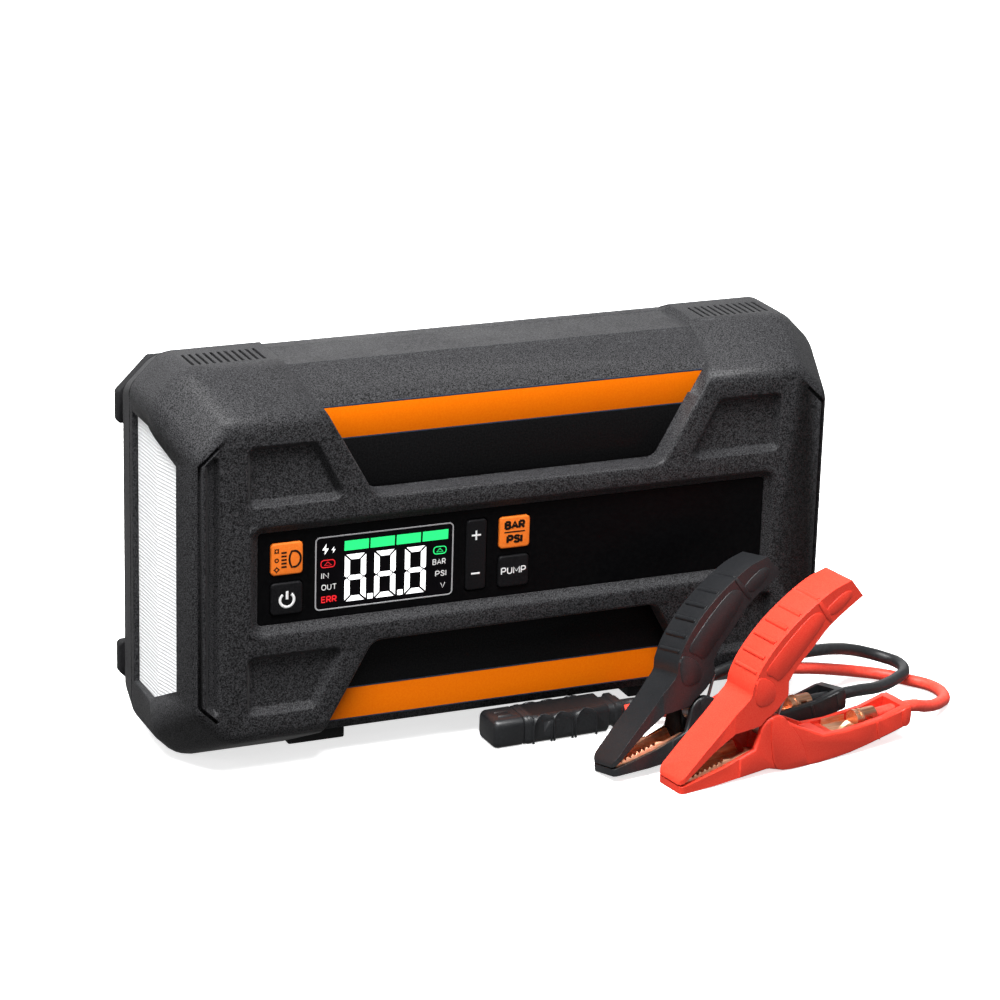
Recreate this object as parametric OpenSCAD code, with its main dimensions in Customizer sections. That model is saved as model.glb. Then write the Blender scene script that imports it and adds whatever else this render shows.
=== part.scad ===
// Jump starter pack with a built-in tyre compressor, and its clamp lead.
// Origin: on the floor under the middle of the case. X runs along the case, the front faces -Y.

/* [Case] */
// Length of the case over its two end faces
case_length = 248.4; // [236:0.2:310]
// Height of the end caps, without the extra reach at the bottom
case_height = 137; // [130:0.5:170]
// Depth of the case from its front face to the rear pads
case_depth = 66; // [63:0.5:82]
// Wall thickness of both shells
wall = 2.6; // [2:0.1:3.2]
// Leg of the 45 degree corner cuts of the end caps
corner_leg = 11.2; // [8:0.2:14]
// How much the front face is shorter than the case at each end
front_inset_x = 6.8; // [4:0.2:9]
// How much the front face is lower than the case at top and bottom
front_inset_z = 11.5; // [9:0.5:14]
// Depth over which the front face widens to the full case
front_slope_depth = 26.5; // [22:0.5:30]
// Depth of the rear shell without its pads
rear_shell_depth = 12; // [10:0.5:16]
// Height of the rear pads
rear_pad_height = 4; // [3:0.5:6]
// How much further the end caps reach at the bottom than at the top
bottom_reach = 2; // [1:0.5:4]

/* [Front details] */
// Length of the control panel
panel_length = 190; // [180:1:204]
// Height of the control panel
panel_height = 33; // [31:0.5:38]
// How deep the panel's face lies behind the front face
panel_recess = 2.5; // [1.5:0.1:3]
// Thickness of the panel plate
panel_thickness = 1.5; // [1.2:0.1:2]
// Depth of the label zones behind the front face
label_depth = 8.5; // [6:0.5:10]
// Depth of the four pockets
pocket_depth = 3; // [2:0.5:4]
// Depth of the two upright grooves
groove_depth = 3.4; // [2.5:0.1:4]
// Width of a vent slot
vent_width = 1.1; // [0.8:0.1:1.5]
// Number of vent slots in each end cap
vent_count = 11; // [7:1:11]

/* [Keys] */
// Side of a square key
key_size = 11.4; // [10:0.2:12]
// Width of the plus and minus rocker
rocker_width = 7.6; // [6:0.2:9]
// Height of the plus and minus rocker
rocker_height = 26; // [22:0.5:27]
// How far a key stands out of the panel
key_proud = 0.8; // [0.7:0.1:1.2]
// Gap round a key
key_gap = 0.25; // [0.15:0.05:0.4]

/* [Lamp and ports] */
// Height of the lamp lens
lens_height = 98; // [80:1:100]
// Thickness of the lamp lens
lens_thickness = 2.2; // [1.6:0.1:2.6]
// How deep the lens lies behind the end face
lens_recess = 2; // [1:0.1:2.4]
// Height of the port door
door_height = 67.4; // [60:0.2:72]
// Thickness of the port door
door_thickness = 2; // [1.6:0.1:2.4]
// Radius of a door hinge pin
door_pin_radius = 0.8; // [0.6:0.05:0.9]

/* [Compressor] */
// Radius of the motor pinion at mid tooth
pinion_radius = 3.6; // [3:0.1:4]
// Number of teeth of the motor pinion
pinion_teeth = 9; // [9:1:12]
// Number of teeth of the crank gear
gear_teeth = 41; // [31:1:44]
// Bore radius of the compressor cylinder
bore_radius = 8; // [6:0.5:8.5]
// Radius of the crank pin's path
crank_throw = 4; // [3:0.5:5]
// Radius of the gear's axle
axle_radius = 2; // [1.5:0.1:2.5]

/* [Clamps] */
// Width of a clamp handle
handle_width = 15; // [14.6:0.2:17]
// Width of a clamp jaw
jaw_width = 14; // [12:0.5:14]
// Radius of a clamp's pivot pin
pin_radius = 1.7; // [1.4:0.1:2]
// Radius of the lead's two cords
cord_radius = 2.2; // [1.8:0.1:2.4]

/* [Hidden] */
$fn = 64;

body_colour = "#333436";
dark_colour = "#17181a";
orange = "#f07818";
red = "#f04030";
copper = "#d08048";
steel = "#b8bcc0";
board_green = "#1d5c3a";

// The case frame: y counts back from the front face, z from mid-height.
mid_z = case_height / 2 + bottom_reach;
half_x = case_length / 2;
half_z = case_height / 2;
front_x = half_x - front_inset_x;
front_z = half_z - front_inset_z;
front_leg = corner_leg + 0.7;
foot_leg = corner_leg - 2.5;
rear_y = case_depth - rear_pad_height;
parting_y = rear_y - rear_shell_depth;
seam = 0.8;
fit = 0.05;
gap = 0.3;

// Slices of the outer form: depth, half length, half height, upper corner leg, extra reach at
// the bottom, lower corner leg.
function full_at(y, t) = [y, half_x - t, half_z - t, corner_leg, bottom_reach, foot_leg];
front_slice = [0, front_x, front_z, front_leg, 0, front_leg];
full_slice = full_at(front_slope_depth, 0);
parting_slice = full_at(parting_y, 0);
rear_slice = [rear_y, half_x - 0.8, half_z - 5.5, corner_leg - 1.2, bottom_reach, foot_leg];

// Label zones: the band between them stands at the front face.
band_half = 26;
zone_bottom_x = 52.5;
zone_top_x = 77.5;
centre_drop = 2.3;
centre_front_z = front_z + 3;
centre_slope_y = 29;

// Control panel layout.
panel_face_y = panel_recess;
panel_floor_y = panel_recess + panel_thickness;
floor_back_y = panel_floor_y + 2.4;
left_key_x = -84.7;
right_key_x = -1.4;
upper_key_z = 6.8;
lower_key_z = -7.4;
rocker_x = -15.5;
window_x = -49.2;
window_length = 50.4;
window_height = 26;
board_y = floor_back_y + 4;
rocker_axis_y = floor_back_y + 1;
rocker_pin_radius = 0.6;
rocker_pin_length = 2.4;
board_thickness = 1.6;

// Lamp: its opening lies in the left end face.
lens_front_y = 12;
lens_rear_y = parting_y - wall - 0.4;
lens_kink_y = 30;
lens_margin = 1.6;
lens_frame = 2.4;
end_slope = front_inset_x / front_slope_depth;

// Ports: a bay behind a door in the right end face.
bay_front_y = 28;
bay_rear_y = 47.5;
bay_half = door_height / 2 + 0.3;
bay_floor_x = half_x - 10.4;
bay_wall = 2;
port_y = 37.5;
hinge_r = 1.4;
hinge_x = half_x - hinge_r;
hinge_y = bay_rear_y - 0.3 - hinge_r;

// Compressor, seated on the rear shell's inner face.
plate_back_y = rear_y - wall;
plate_y = plate_back_y - 3;
gear_y = plate_y - 6.4;
gear_width = 4;
gear_radius = pinion_radius * gear_teeth / pinion_teeth;
gear_x = 44;
motor_x = gear_x - gear_radius - pinion_radius - 0.1;
drive_z = 40;
motor_radius = 11.5;
motor_front_y = 20;
motor_back_y = 45.5;
rod_y = gear_y - 6;
cylinder_x = gear_x + gear_radius + 2;
piston_length = 9;
fin_radius = bore_radius + 3.8;
crank_x = gear_x + crank_throw;
piston_x = cylinder_x + 1 + 2 * crank_throw;
cylinder_length = piston_x + piston_length + 0.6 - cylinder_x;
head_length = 6;
head_x = cylinder_x + cylinder_length;

// Case screws.
screw_inset = 11.5;
screw_places = [
    [-90, half_z - screw_inset], [90, half_z - screw_inset], [0, half_z - screw_inset - 1],
    [-90, screw_inset - half_z], [90, screw_inset - half_z], [0, screw_inset - half_z]
];
screw_length = 22;
boss_radius = 4;

// Clamp lead: the plug and the two clamps on the floor in front of the case. The black clamp
// leans towards the case about its far bottom edge.
front_face_y = -case_depth / 2;
plug_place = [-10.5, front_face_y + 0.8, 0];
plug_heading = 2;
plug_width = 14.5;
plug_height = 10.6;
plug_seam = 11.5;
plug_end = 45;
collar_length = 7;
cord_spread = 2.6;
pin_spread = 3.2;
contact_radius = 1.8;
tube_radius = 2.6;
red_place = [33.2, front_face_y - 56.1, 0];
red_heading = 9;
black_place = [15.9, front_face_y - 40.4, 0];
black_heading = 8;
black_lean = 10.6;
pivot = [38.5, 15.5];
hump_radius = 6.2;
cord_exit = [98.5, 10];
cord_in = 14;

function turned(p, a) = [p[0] * cos(a) - p[1] * sin(a), p[0] * sin(a) + p[1] * cos(a), p[2]];
function plug_exit(s, t) =
    plug_place + turned([plug_end + collar_length + s, t, plug_height / 2], plug_heading);
function red_entry(s) = red_place + turned([s, 0, cord_exit[1]], red_heading);
function black_entry(s) =
    let (half = handle_width / 2,
         t = half - half * cos(black_lean) + cord_exit[1] * sin(black_lean),
         h = half * sin(black_lean) + cord_exit[1] * cos(black_lean))
    black_place + turned([s, t, h], black_heading);

// The cords' routes: points of the cord's middle. Both leave the plug side by side, lean on the
// front of the case with the black cord on the red one, and end inside the clamps' handles.
black_route = [
    plug_exit(0, cord_spread), plug_exit(6, cord_spread),
    [54, -30.2, 6.4], [62, -34.2, 9.4], [70, -36.4, 13.8], [79, -36.4, 17.2], [91, -36, 19.1],
    [105, -36, 19.6], [118, -34.8, 19.4], [129, -29.6, 16.6], [138, -23.8, 13],
    [146, -20.6, 9.8], [152.8, -22.8, 7.8], [156.2, -28.9, 7.2], [154.4, -35.9, 7.1],
    [147, -43.2, 7.7], [135.6, -50.6, 8.8],
    black_entry(cord_exit[0] + 10), black_entry(cord_exit[0] - 1),
    black_entry(cord_exit[0] - cord_in)
];
red_route = [
    plug_exit(0, -cord_spread), plug_exit(6, -cord_spread),
    [55, -36.6, 5.2], [64, -41, 5.4], [73, -42.2, 7.6], [82, -40.2, 11.2], [92, -37, 14],
    [103, -36, 14.6], [113, -35.6, 13.4], [122, -32.4, 10.8], [132, -27.6, 7.2],
    [142, -24.4, 4], [151, -26.8, 2.5], [157.6, -34, 2.3], [163, -43, 2.3],
    [161.8, -53, 2.6], [154.6, -61.6, 4.2], [144.4, -69, 7.2],
    red_entry(cord_exit[0] + 6), red_entry(cord_exit[0] - cord_in)
];

// ---------------------------------------------------------------- shared shapes

module at_case() {
    translate([0, -case_depth / 2, mid_z]) children();
}

// Both sides of the case's middle plane.
module both_ends() {
    children();
    mirror([1, 0, 0]) children();
}

module top_and_bottom() {
    children();
    mirror([0, 0, 1]) children();
}

// An XZ outline pushed back from y0 to y1.
module push_back(y0, y1) {
    translate([0, y1, 0]) rotate([90, 0, 0]) linear_extrude(y1 - y0) children();
}

// A YZ outline drawn along X from x0 to x1.
module draw_along(x0, x1) {
    translate([x0, 0, 0]) rotate([90, 0, 90]) linear_extrude(x1 - x0) children();
}

module block(low, high) {
    translate(low) cube(high - low);
}

module rounded_rect(w, h, r) {
    union() {
        square([w - 2 * r, h], center = true);
        square([w, h - 2 * r], center = true);
        for (sx = [-1, 1], sz = [-1, 1])
            translate([sx * (w / 2 - r), sz * (h / 2 - r)]) circle(r, $fn = 32);
    }
}

function octagon(s) = let (low = -s[2] - s[4]) [
    [s[1], s[0], s[2] - s[3]], [s[1] - s[3], s[0], s[2]],
    [-s[1] + s[3], s[0], s[2]], [-s[1], s[0], s[2] - s[3]],
    [-s[1], s[0], low + s[5]], [-s[1] + s[5], s[0], low],
    [s[1] - s[5], s[0], low], [s[1], s[0], low + s[5]]
];

// A solid through octagonal slices, front slice first.
module octagon_loft(slices) {
    n = len(slices);
    polyhedron(
        points = [for (s = slices) each octagon(s)],
        faces = concat(
            [[7, 6, 5, 4, 3, 2, 1, 0]],
            [[for (i = [0 : 7]) 8 * (n - 1) + i]],
            [for (k = [0 : n - 2], i = [0 : 7])
                [8 * k + i, 8 * k + (i + 1) % 8, 8 * (k + 1) + (i + 1) % 8, 8 * (k + 1) + i]]
        )
    );
}

// The same slice a wall of t further in: 0.59 is 2 - sqrt(2), for the 45 degree cuts.
function inset(s, t) = [s[0], s[1] - t, s[2] - t, s[3] - 0.59 * t, s[4], s[5] - 0.59 * t];

// Smooth route through points, by Catmull-Rom spans.
function spline_at(p, i, t) =
    let (a = p[max(i - 1, 0)], b = p[i], c = p[i + 1], d = p[min(i + 2, len(p) - 1)])
    0.5 * (2 * b + (c - a) * t + (2 * a - 5 * b + 4 * c - d) * t * t
        + (3 * b - a - 3 * c + d) * t * t * t);
function smooth(p, steps) = [
    for (i = [0 : len(p) - 2], k = [0 : steps - 1]) spline_at(p, i, k / steps),
    p[len(p) - 1]
];
function unit(v) = v / norm(v);
function ring(c, d, r, sides) =
    let (s = unit(cross(d, d[2]^2 > 0.9 ? [0, 1, 0] : [0, 0, 1])), u = cross(s, d))
    [for (k = [0 : sides - 1]) c + r * (s * cos(360 * k / sides) + u * sin(360 * k / sides))];

// A round cord swept smoothly along a route; both ends are square to the route's end legs.
module cord(route, r, sides, steps) {
    p = smooth(route, steps);
    n = len(p);
    m = len(route);
    function heading(i) =
        i == 0 ? unit(route[1] - route[0])
        : i == n - 1 ? unit(route[m - 1] - route[m - 2]) : unit(p[i + 1] - p[i - 1]);
    polyhedron(
        points = [for (i = [0 : n - 1]) each ring(p[i], heading(i), r, sides)],
        faces = concat(
            [[for (k = [0 : sides - 1]) k]],
            [[for (k = [0 : sides - 1]) sides * (n - 1) + sides - 1 - k]],
            [for (i = [0 : n - 2], k = [0 : sides - 1])
                [sides * i + k, sides * (i + 1) + k,
                 sides * (i + 1) + (k + 1) % sides, sides * i + (k + 1) % sides]]
        )
    );
}

// ---------------------------------------------------------------- case shells

// Outline of a label zone between its side walls, widened by t.
module zone_outline(t) {
    polygon([
        [-zone_bottom_x - t, band_half - t], [zone_bottom_x + t, band_half - t],
        [zone_bottom_x + 3 + t, band_half + 3], [zone_top_x + 4.6 + t, half_z + 8],
        [-zone_top_x - 4.6 - t, half_z + 8], [-zone_bottom_x - 3 - t, band_half + 3]
    ]);
}

// What a label zone removes from the outer form, set back by t.
module zone_cut(t) {
    intersection() {
        push_back(-1, parting_y + 2) zone_outline(t);
        draw_along(-half_x, half_x) polygon([
            [-1, band_half - 5], [label_depth + t, band_half - 5],
            [label_depth + t, centre_front_z - t], [centre_slope_y, half_z - centre_drop - t],
            [parting_y + 2, half_z - centre_drop - t], [parting_y + 2, half_z + 9],
            [-1, half_z + 9]
        ]);
    }
}

// Outline of the upper right pocket, widened by t.
module pocket_outline(t) {
    polygon([
        [64.6 - 1.6 * t, 27.8 - t], [66.6, 26.8 - t], [97.6 + t, 26.8 - t], [99 + t, 28.2],
        [99 + t, 46], [97.4 + t, 47.6 + t], [75.4 - t, 47.6 + t], [74.2 - t, 46.6]
    ]);
}

module pockets(t) {
    both_ends() top_and_bottom() push_back(-1, pocket_depth + t) pocket_outline(t);
}

// The upright groove beside an end face, widened by t.
module grooves(t) {
    inner = front_x - 7.9;
    outer = front_x - 1.4;
    both_ends() push_back(-1, groove_depth + t) polygon([
        [inner - t, -48.5 - t], [inner + 0.6, -48.5 - t], [outer + t, -42.2], [outer + t, 42.2],
        [inner + 0.6, 48.5 + t], [inner - t, 48.5 + t]
    ]);
}

// The lens outline in the end face, grown by m all round.
module lens_outline(m) {
    h = lens_height / 2 + m;
    polygon([
        [lens_front_y - m, -h + 9], [lens_kink_y, -h], [lens_rear_y + m, -h],
        [lens_rear_y + m, h], [lens_kink_y, h], [lens_front_y - m, h - 9]
    ]);
}

// The band between two lines that follow the left end face, at depths a and b behind it.
module end_band(a, b) {
    x_front = -front_x + end_slope * 4;
    translate([0, 0, -half_z]) linear_extrude(case_height) polygon([
        [x_front + 0.55 + a, -4], [-half_x + a, front_slope_depth], [-half_x + a, parting_y + 2],
        [-half_x + b, parting_y + 2], [-half_x + b, front_slope_depth], [x_front + 0.55 + b, -4]
    ]);
}

module lens_body(a, b, m) {
    intersection() {
        end_band(a, b);
        draw_along(-half_x - 2, 0) lens_outline(m);
    }
}

// Screw bosses, each held to the nearest wall by a rib.
module screw_bosses() {
    for (p = screw_places) {
        up = sign(p[1]);
        translate([p[0], parting_y, p[1]]) rotate([90, 0, 0])
            cylinder(r = boss_radius, h = screw_length - 4);
        translate([p[0] - 1.2, parting_y - screw_length + 4, up > 0 ? p[1] : -half_z])
            cube([2.4, screw_length - 4, half_z - abs(p[1])]);
    }
}

module vent_slots() {
    pitch = 25.4 / (vent_count - 1);
    both_ends() for (i = [0 : vent_count - 1])
        translate([82.5 + i * pitch - vent_width / 2, 30.8, half_z - wall - 2])
            cube([vent_width, 12.4, wall + 4]);
}

module key_hole(x, z, w, h, y0, y1, g) {
    translate([x, 0, z]) push_back(y0, y1) rounded_rect(w + 2 * g, h + 2 * g, 1.4);
}

module all_key_holes(y0, y1, g) {
    key_hole(left_key_x, upper_key_z, key_size, key_size, y0, y1, g);
    key_hole(left_key_x, lower_key_z, key_size, key_size, y0, y1, g);
    key_hole(right_key_x, upper_key_z, key_size, key_size, y0, y1, g);
    key_hole(right_key_x, lower_key_z, key_size, key_size, y0, y1, g);
    key_hole(rocker_x, 0, rocker_width, rocker_height, y0, y1, g);
}

// Posts that carry the panel board.
board_posts = [[-75.2, 0], [35, 12], [35, -12], [88, 0]];

// The panel's recess widens towards the front face.
module panel_flare() {
    a = [panel_length / 2 + 4, panel_height / 2 + 4.2];
    b = [panel_length / 2, panel_height / 2];
    polyhedron(
        points = concat(
            [for (k = [0 : 3]) [[-1, 1, 1, -1][k] * a[0], 0, [-1, -1, 1, 1][k] * a[1]]],
            [for (k = [0 : 3]) [[-1, 1, 1, -1][k] * b[0], panel_recess, [-1, -1, 1, 1][k] * b[1]]]
        ),
        faces = [
            [3, 2, 1, 0], [4, 5, 6, 7], [1, 5, 4, 0], [2, 6, 5, 1], [3, 7, 6, 2], [0, 4, 7, 3]
        ]
    );
}

module front_shell() color(body_colour) at_case() difference() {
    octagon_loft([front_slice, full_slice, parting_slice]);
    difference() {
        octagon_loft([
            inset([wall, front_slice[1] + wall * end_slope, front_slice[2] + 0.43 * wall,
                front_leg, 0, front_leg], wall),
            inset(full_slice, wall), inset(full_at(parting_y + 1, 0), wall)
        ]);
        zone_cut(wall);
        mirror([0, 0, 1]) zone_cut(wall);
        pockets(wall);
        grooves(wall);
        block([-panel_length / 2 - 3, 0, -panel_height / 2 - 6],
            [panel_length / 2 + 3, floor_back_y, panel_height / 2 + 6]);
        lens_body(0, lens_recess + lens_thickness + lens_frame, lens_frame);
        block([bay_floor_x - bay_wall, bay_front_y - bay_wall, -bay_half - bay_wall - 1.4],
            [half_x, bay_rear_y + bay_wall, bay_half + bay_wall + 1.4]);
        screw_bosses();
        for (s = [-1, 1]) translate([rocker_x + s * (rocker_width / 2 + 1.8), floor_back_y + 1.2, 0])
            cube([1.2, 2.4, 3.6], center = true);
        for (p = board_posts)
            translate([p[0], board_y, p[1]]) rotate([90, 0, 0]) cylinder(r = 2.4, h = 4.2);
    }
    zone_cut(0);
    mirror([0, 0, 1]) zone_cut(0);
    pockets(0);
    grooves(0);
    push_back(0, panel_floor_y) rounded_rect(panel_length, panel_height, 1.6);
    panel_flare();
    push_back(0, floor_back_y + 1) translate([window_x, 0]) square([46.4, 22.4], center = true);
    all_key_holes(0, floor_back_y + 1, key_gap);
    vent_slots();
    lens_body(-2, lens_recess + lens_thickness, 0.15);
    lens_body(-2, lens_recess + lens_thickness + 6, -lens_margin);
    block([bay_floor_x, bay_front_y, -bay_half], [half_x + 2, bay_rear_y, bay_half]);
    translate([hinge_x, hinge_y, -bay_half - 1.7])
        cylinder(r = door_pin_radius + fit, h = door_height + 4);
    port_holes();
    translate([rocker_x - rocker_width / 2 - 3, rocker_axis_y, 0]) rotate([0, 90, 0])
        cylinder(r = rocker_pin_radius + fit, h = rocker_width + 6);
    for (p = screw_places)
        translate([p[0], parting_y + 1, p[1]]) rotate([90, 0, 0])
            cylinder(r = 1.5, h = screw_length - 6);
    for (p = board_posts)
        translate([p[0], board_y + 1, p[1]]) rotate([90, 0, 0]) cylinder(r = 1, h = 5.4);
}

module rear_shell() color(body_colour) at_case() difference() {
    union() {
        difference() {
            union() {
                octagon_loft([full_at(parting_y, seam), full_at(parting_y + seam + 1, seam)]);
                octagon_loft([full_at(parting_y + seam, 0), rear_slice]);
            }
            difference() {
                octagon_loft([
                    inset(full_at(parting_y - 1, 0), wall),
                    inset([rear_y - wall, rear_slice[1], rear_slice[2] + 1, rear_slice[3],
                        bottom_reach, foot_leg], wall)
                ]);
                top_and_bottom() rear_centre_cut(wall);
            }
        }
        for (p = screw_places)
            translate([p[0], rear_y - 0.5, p[1]]) rotate([90, 0, 0])
                cylinder(r = 4.6, h = rear_y - 0.5 - parting_y);
    }
    top_and_bottom() rear_centre_cut(0);
    for (p = screw_places) {
        translate([p[0], rear_y + 1, p[1]]) rotate([90, 0, 0]) cylinder(r = 3.2, h = 6.2);
        translate([p[0], rear_y + 1, p[1]]) rotate([90, 0, 0]) cylinder(r = 1.7, h = 30);
    }
}

// The rear shell is lower between the end caps, like the front shell; set back by t.
module rear_centre_cut(t) intersection() {
    push_back(parting_y - 2, rear_y + 1) zone_outline(t);
    block([-half_x, parting_y - 2, half_z - centre_drop - t], [half_x, rear_y + 1, half_z + 9]);
}

module rear_pads() color(dark_colour) at_case() both_ends() top_and_bottom()
    push_back(rear_y, case_depth) polygon([
        [101.5, 40], [half_x - 0.4, 40], [half_x + 0.6, 41.2], [half_x + 0.6, half_z - 17],
        [half_x - 11, half_z - 5.4], [101.5, half_z - 5.4], [100.5, half_z - 6.4], [100.5, 41]
    ]);

module foot_pads() color(dark_colour) at_case() both_ends()
    block([-76, 23, -half_z - bottom_reach], [-55, parting_y - 1, -half_z + centre_drop]);

module case_screws() color(steel) at_case() for (p = screw_places) {
    translate([p[0], rear_y - 2.4, p[1]]) rotate([90, 0, 0]) difference() {
        union() {
            cylinder(r = 2.8, h = 2.8);
            cylinder(r = 1.45, h = screw_length + 2);
        }
        translate([0, 0, -1]) cylinder(r = 1.3, h = 2.6, $fn = 6);
    }
}

// ---------------------------------------------------------------- labels

module label_outline(z0, z1) {
    slope = (zone_top_x + 1.6 - zone_bottom_x) / (half_z + 5 - band_half);
    function half_at(z) = zone_bottom_x + 2.4 + (z - band_half - 3) * slope;
    corner_z = max(z0, band_half + 3.4);
    low_half = z0 < band_half + 3 ? zone_bottom_x - 1 : half_at(z0);
    polygon([
        [-half_at(z1), z1], [half_at(z1), z1], [half_at(corner_z), corner_z],
        [low_half, z0], [-low_half, z0], [-half_at(corner_z), corner_z]
    ]);
}

module label_plates() color(dark_colour) at_case() top_and_bottom()
    push_back(label_depth - 0.8, label_depth) label_outline(band_half + 0.4, 45.2);

module label_stripes() color(orange) at_case() top_and_bottom()
    push_back(label_depth - 0.8, label_depth) label_outline(45.3, 56.7);

// ---------------------------------------------------------------- control panel

module control_panel() color(dark_colour) at_case() difference() {
    push_back(panel_face_y, panel_floor_y) rounded_rect(panel_length - 0.4, panel_height - 0.4, 1.4);
    push_back(0, panel_floor_y + 1) translate([window_x, 0])
        rounded_rect(window_length + 0.2, window_height + 0.2, 1.2);
    all_key_holes(0, panel_floor_y + 1, key_gap);
}

module display_window() color("#101216") at_case()
    push_back(panel_face_y, panel_floor_y) translate([window_x, 0])
        rounded_rect(window_length, window_height, 1.1);

module display_module() color("#2a2c30") at_case()
    block([window_x - 23, panel_floor_y, -11], [window_x + 23, board_y, 11]);

module panel_board() color(board_green) at_case() difference() {
    block([-93, board_y, -15.4], [93, board_y + board_thickness, 15.4]);
    for (p = board_posts)
        translate([p[0], board_y + 3, p[1]]) rotate([90, 0, 0]) cylinder(r = 1.2, h = 4);
}

module panel_screws() color(steel) at_case() for (p = board_posts)
    translate([p[0], board_y + board_thickness + 1.4, p[1]]) rotate([90, 0, 0]) {
        cylinder(r = 2, h = 1.4);
        cylinder(r = 0.95, h = 6);
    }

// Switches under the keys and under both ends of the rocker.
switch_places = [
    [left_key_x, upper_key_z], [left_key_x, lower_key_z], [right_key_x, upper_key_z],
    [right_key_x, lower_key_z], [rocker_x, 9], [rocker_x, -9]
];
switch_height = 1.4;

module key_switches() color("#202224") at_case() for (p = switch_places)
    translate([p[0], board_y, p[1]]) rotate([90, 0, 0]) {
        cylinder(r = 2, h = switch_height);
        translate([-2.6, -2.6, 0]) cube([5.2, 5.2, 0.8]);
    }

module square_key(x, z) {
    flange_y = floor_back_y + 0.2;
    translate([x, 0, z]) {
        push_back(panel_face_y - key_proud, flange_y + 0.5) rounded_rect(key_size, key_size, 1.4);
        push_back(flange_y, flange_y + 0.8) rounded_rect(key_size + 1.4, key_size + 1.4, 1);
        translate([0, board_y - switch_height - 0.8, 0]) rotate([90, 0, 0])
            cylinder(r = 1.6, h = board_y - switch_height - 1.2 - flange_y);
    }
}

module light_button() color(orange) at_case() square_key(left_key_x, upper_key_z);

module power_button() color(dark_colour) at_case() square_key(left_key_x, lower_key_z);

module unit_button() color(orange) at_case() square_key(right_key_x, upper_key_z);

module pump_button() color(dark_colour) at_case() square_key(right_key_x, lower_key_z);

module adjust_rocker() color(dark_colour) at_case() translate([rocker_x, 0, 0]) {
    back_y = floor_back_y + 1.4;
    push_back(panel_face_y - 0.5, back_y) rounded_rect(rocker_width, rocker_height - 0.4, 1.4);
    translate([-rocker_width / 2 - rocker_pin_length, rocker_axis_y, 0]) rotate([0, 90, 0])
        cylinder(r = rocker_pin_radius, h = rocker_width + 2 * rocker_pin_length);
    for (s = [-1, 1]) translate([0, board_y - switch_height - 0.7, 9 * s]) rotate([90, 0, 0])
        cylinder(r = 1.4, h = board_y - switch_height - 0.6 - back_y);
}

// ---------------------------------------------------------------- lamp

lamp_back_x = -half_x + lens_recess + lens_thickness + 12.4;
led_y = lens_rear_y / 2 + 6.2;
led_pitch = (lens_height - 30.8) / 7;
led_heights = [for (i = [-3.5 : 1 : 3.5]) i * led_pitch];

module lamp_lens() color("#f4f6f8") at_case()
    lens_body(lens_recess, lens_recess + lens_thickness, 0);

module lamp_reflector() color("#e8eaec") at_case() difference() {
    inner = lens_height / 2 - 10.4;
    front_x0 = -half_x + lens_recess + lens_thickness + lens_frame;
    union() {
        block([front_x0, 15, -inner], [lamp_back_x, lens_rear_y - 2.6, inner]);
        block([front_x0, lens_kink_y, -lens_height / 2], [front_x0 + 2, lens_rear_y - 3, lens_height / 2]);
    }
    for (z = led_heights) translate([lamp_back_x - 1.2, led_y, z]) rotate([0, -90, 0])
        cylinder(r1 = 3, r2 = 4.6, h = 20);
    for (z = led_heights) translate([lamp_back_x + 1, led_y, z]) rotate([0, -90, 0])
        cylinder(r = 3, h = 3);
    end_band(-2, lens_recess + lens_thickness + gap);
}

module lamp_board() color("#f0f0ec") at_case()
    block([lamp_back_x, 14.4, -lens_height / 2 + 6],
        [lamp_back_x + board_thickness, lens_rear_y - 2, lens_height / 2 - 6]);

module lamp_leds() color("#f5e27a") at_case() for (z = led_heights)
    block([lamp_back_x - 1, led_y - 1.7, z - 1.7], [lamp_back_x, led_y + 1.7, z + 1.7]);

// ---------------------------------------------------------------- ports

outlet_z = 7 - bay_half;
socket_z = bay_half - 17;
usb_a_z = -2.6;
usb_c_z = -14.6;

module port_holes() {
    x0 = bay_floor_x - bay_wall - 1;
    translate([x0, port_y, outlet_z]) rotate([0, 90, 0]) cylinder(r = 4 + fit, h = 5);
    block([x0, port_y - 5.2, socket_z - 10.2], [half_x - 8, port_y + 5.2, socket_z + 10.2]);
    block([x0, port_y - 3.4, usb_a_z - 7.2], [half_x - 8, port_y + 3.4, usb_a_z + 7.2]);
    block([x0, port_y - 2, usb_c_z - 4.8], [half_x - 8, port_y + 2, usb_c_z + 4.8]);
}

module port_door() color(dark_colour) at_case() {
    h = door_height / 2;
    block([half_x - door_thickness, bay_front_y + 0.4, -h], [half_x, hinge_y, h]);
    translate([hinge_x, hinge_y, -h]) cylinder(r = hinge_r, h = door_height);
    translate([hinge_x, hinge_y, -h - 1.5]) cylinder(r = door_pin_radius, h = door_height + 3);
    block([half_x - door_thickness, bay_front_y + 0.4, -6], [half_x + 0.8, bay_front_y + 2, 6]);
}

module jump_socket() color("#1c3f86") at_case() difference() {
    union() {
        block([bay_floor_x - 10, port_y - 5, socket_z - 10], [bay_floor_x + 6.4, port_y + 5, socket_z + 10]);
        block([bay_floor_x, port_y - 7, socket_z - 12], [bay_floor_x + 1.2, port_y + 7, socket_z + 12]);
    }
    block([bay_floor_x + 1.8, port_y - 3.4, socket_z - 5.6], [half_x, port_y + 3.4, socket_z + 5.6]);
    for (s = [-1, 1]) translate([bay_floor_x - 11, port_y, socket_z + pin_spread * s])
        rotate([0, 90, 0]) cylinder(r = tube_radius + fit, h = 14);
}

module socket_contacts() color(copper) at_case() for (s = [-1, 1])
    translate([bay_floor_x - 12, port_y, socket_z + pin_spread * s]) rotate([0, 90, 0]) difference() {
        union() {
            cylinder(r = tube_radius, h = 13.8);
            cylinder(r = tube_radius + 0.5, h = 2);
        }
        translate([0, 0, 3]) cylinder(r = contact_radius + 0.1, h = 12);
    }

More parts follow.
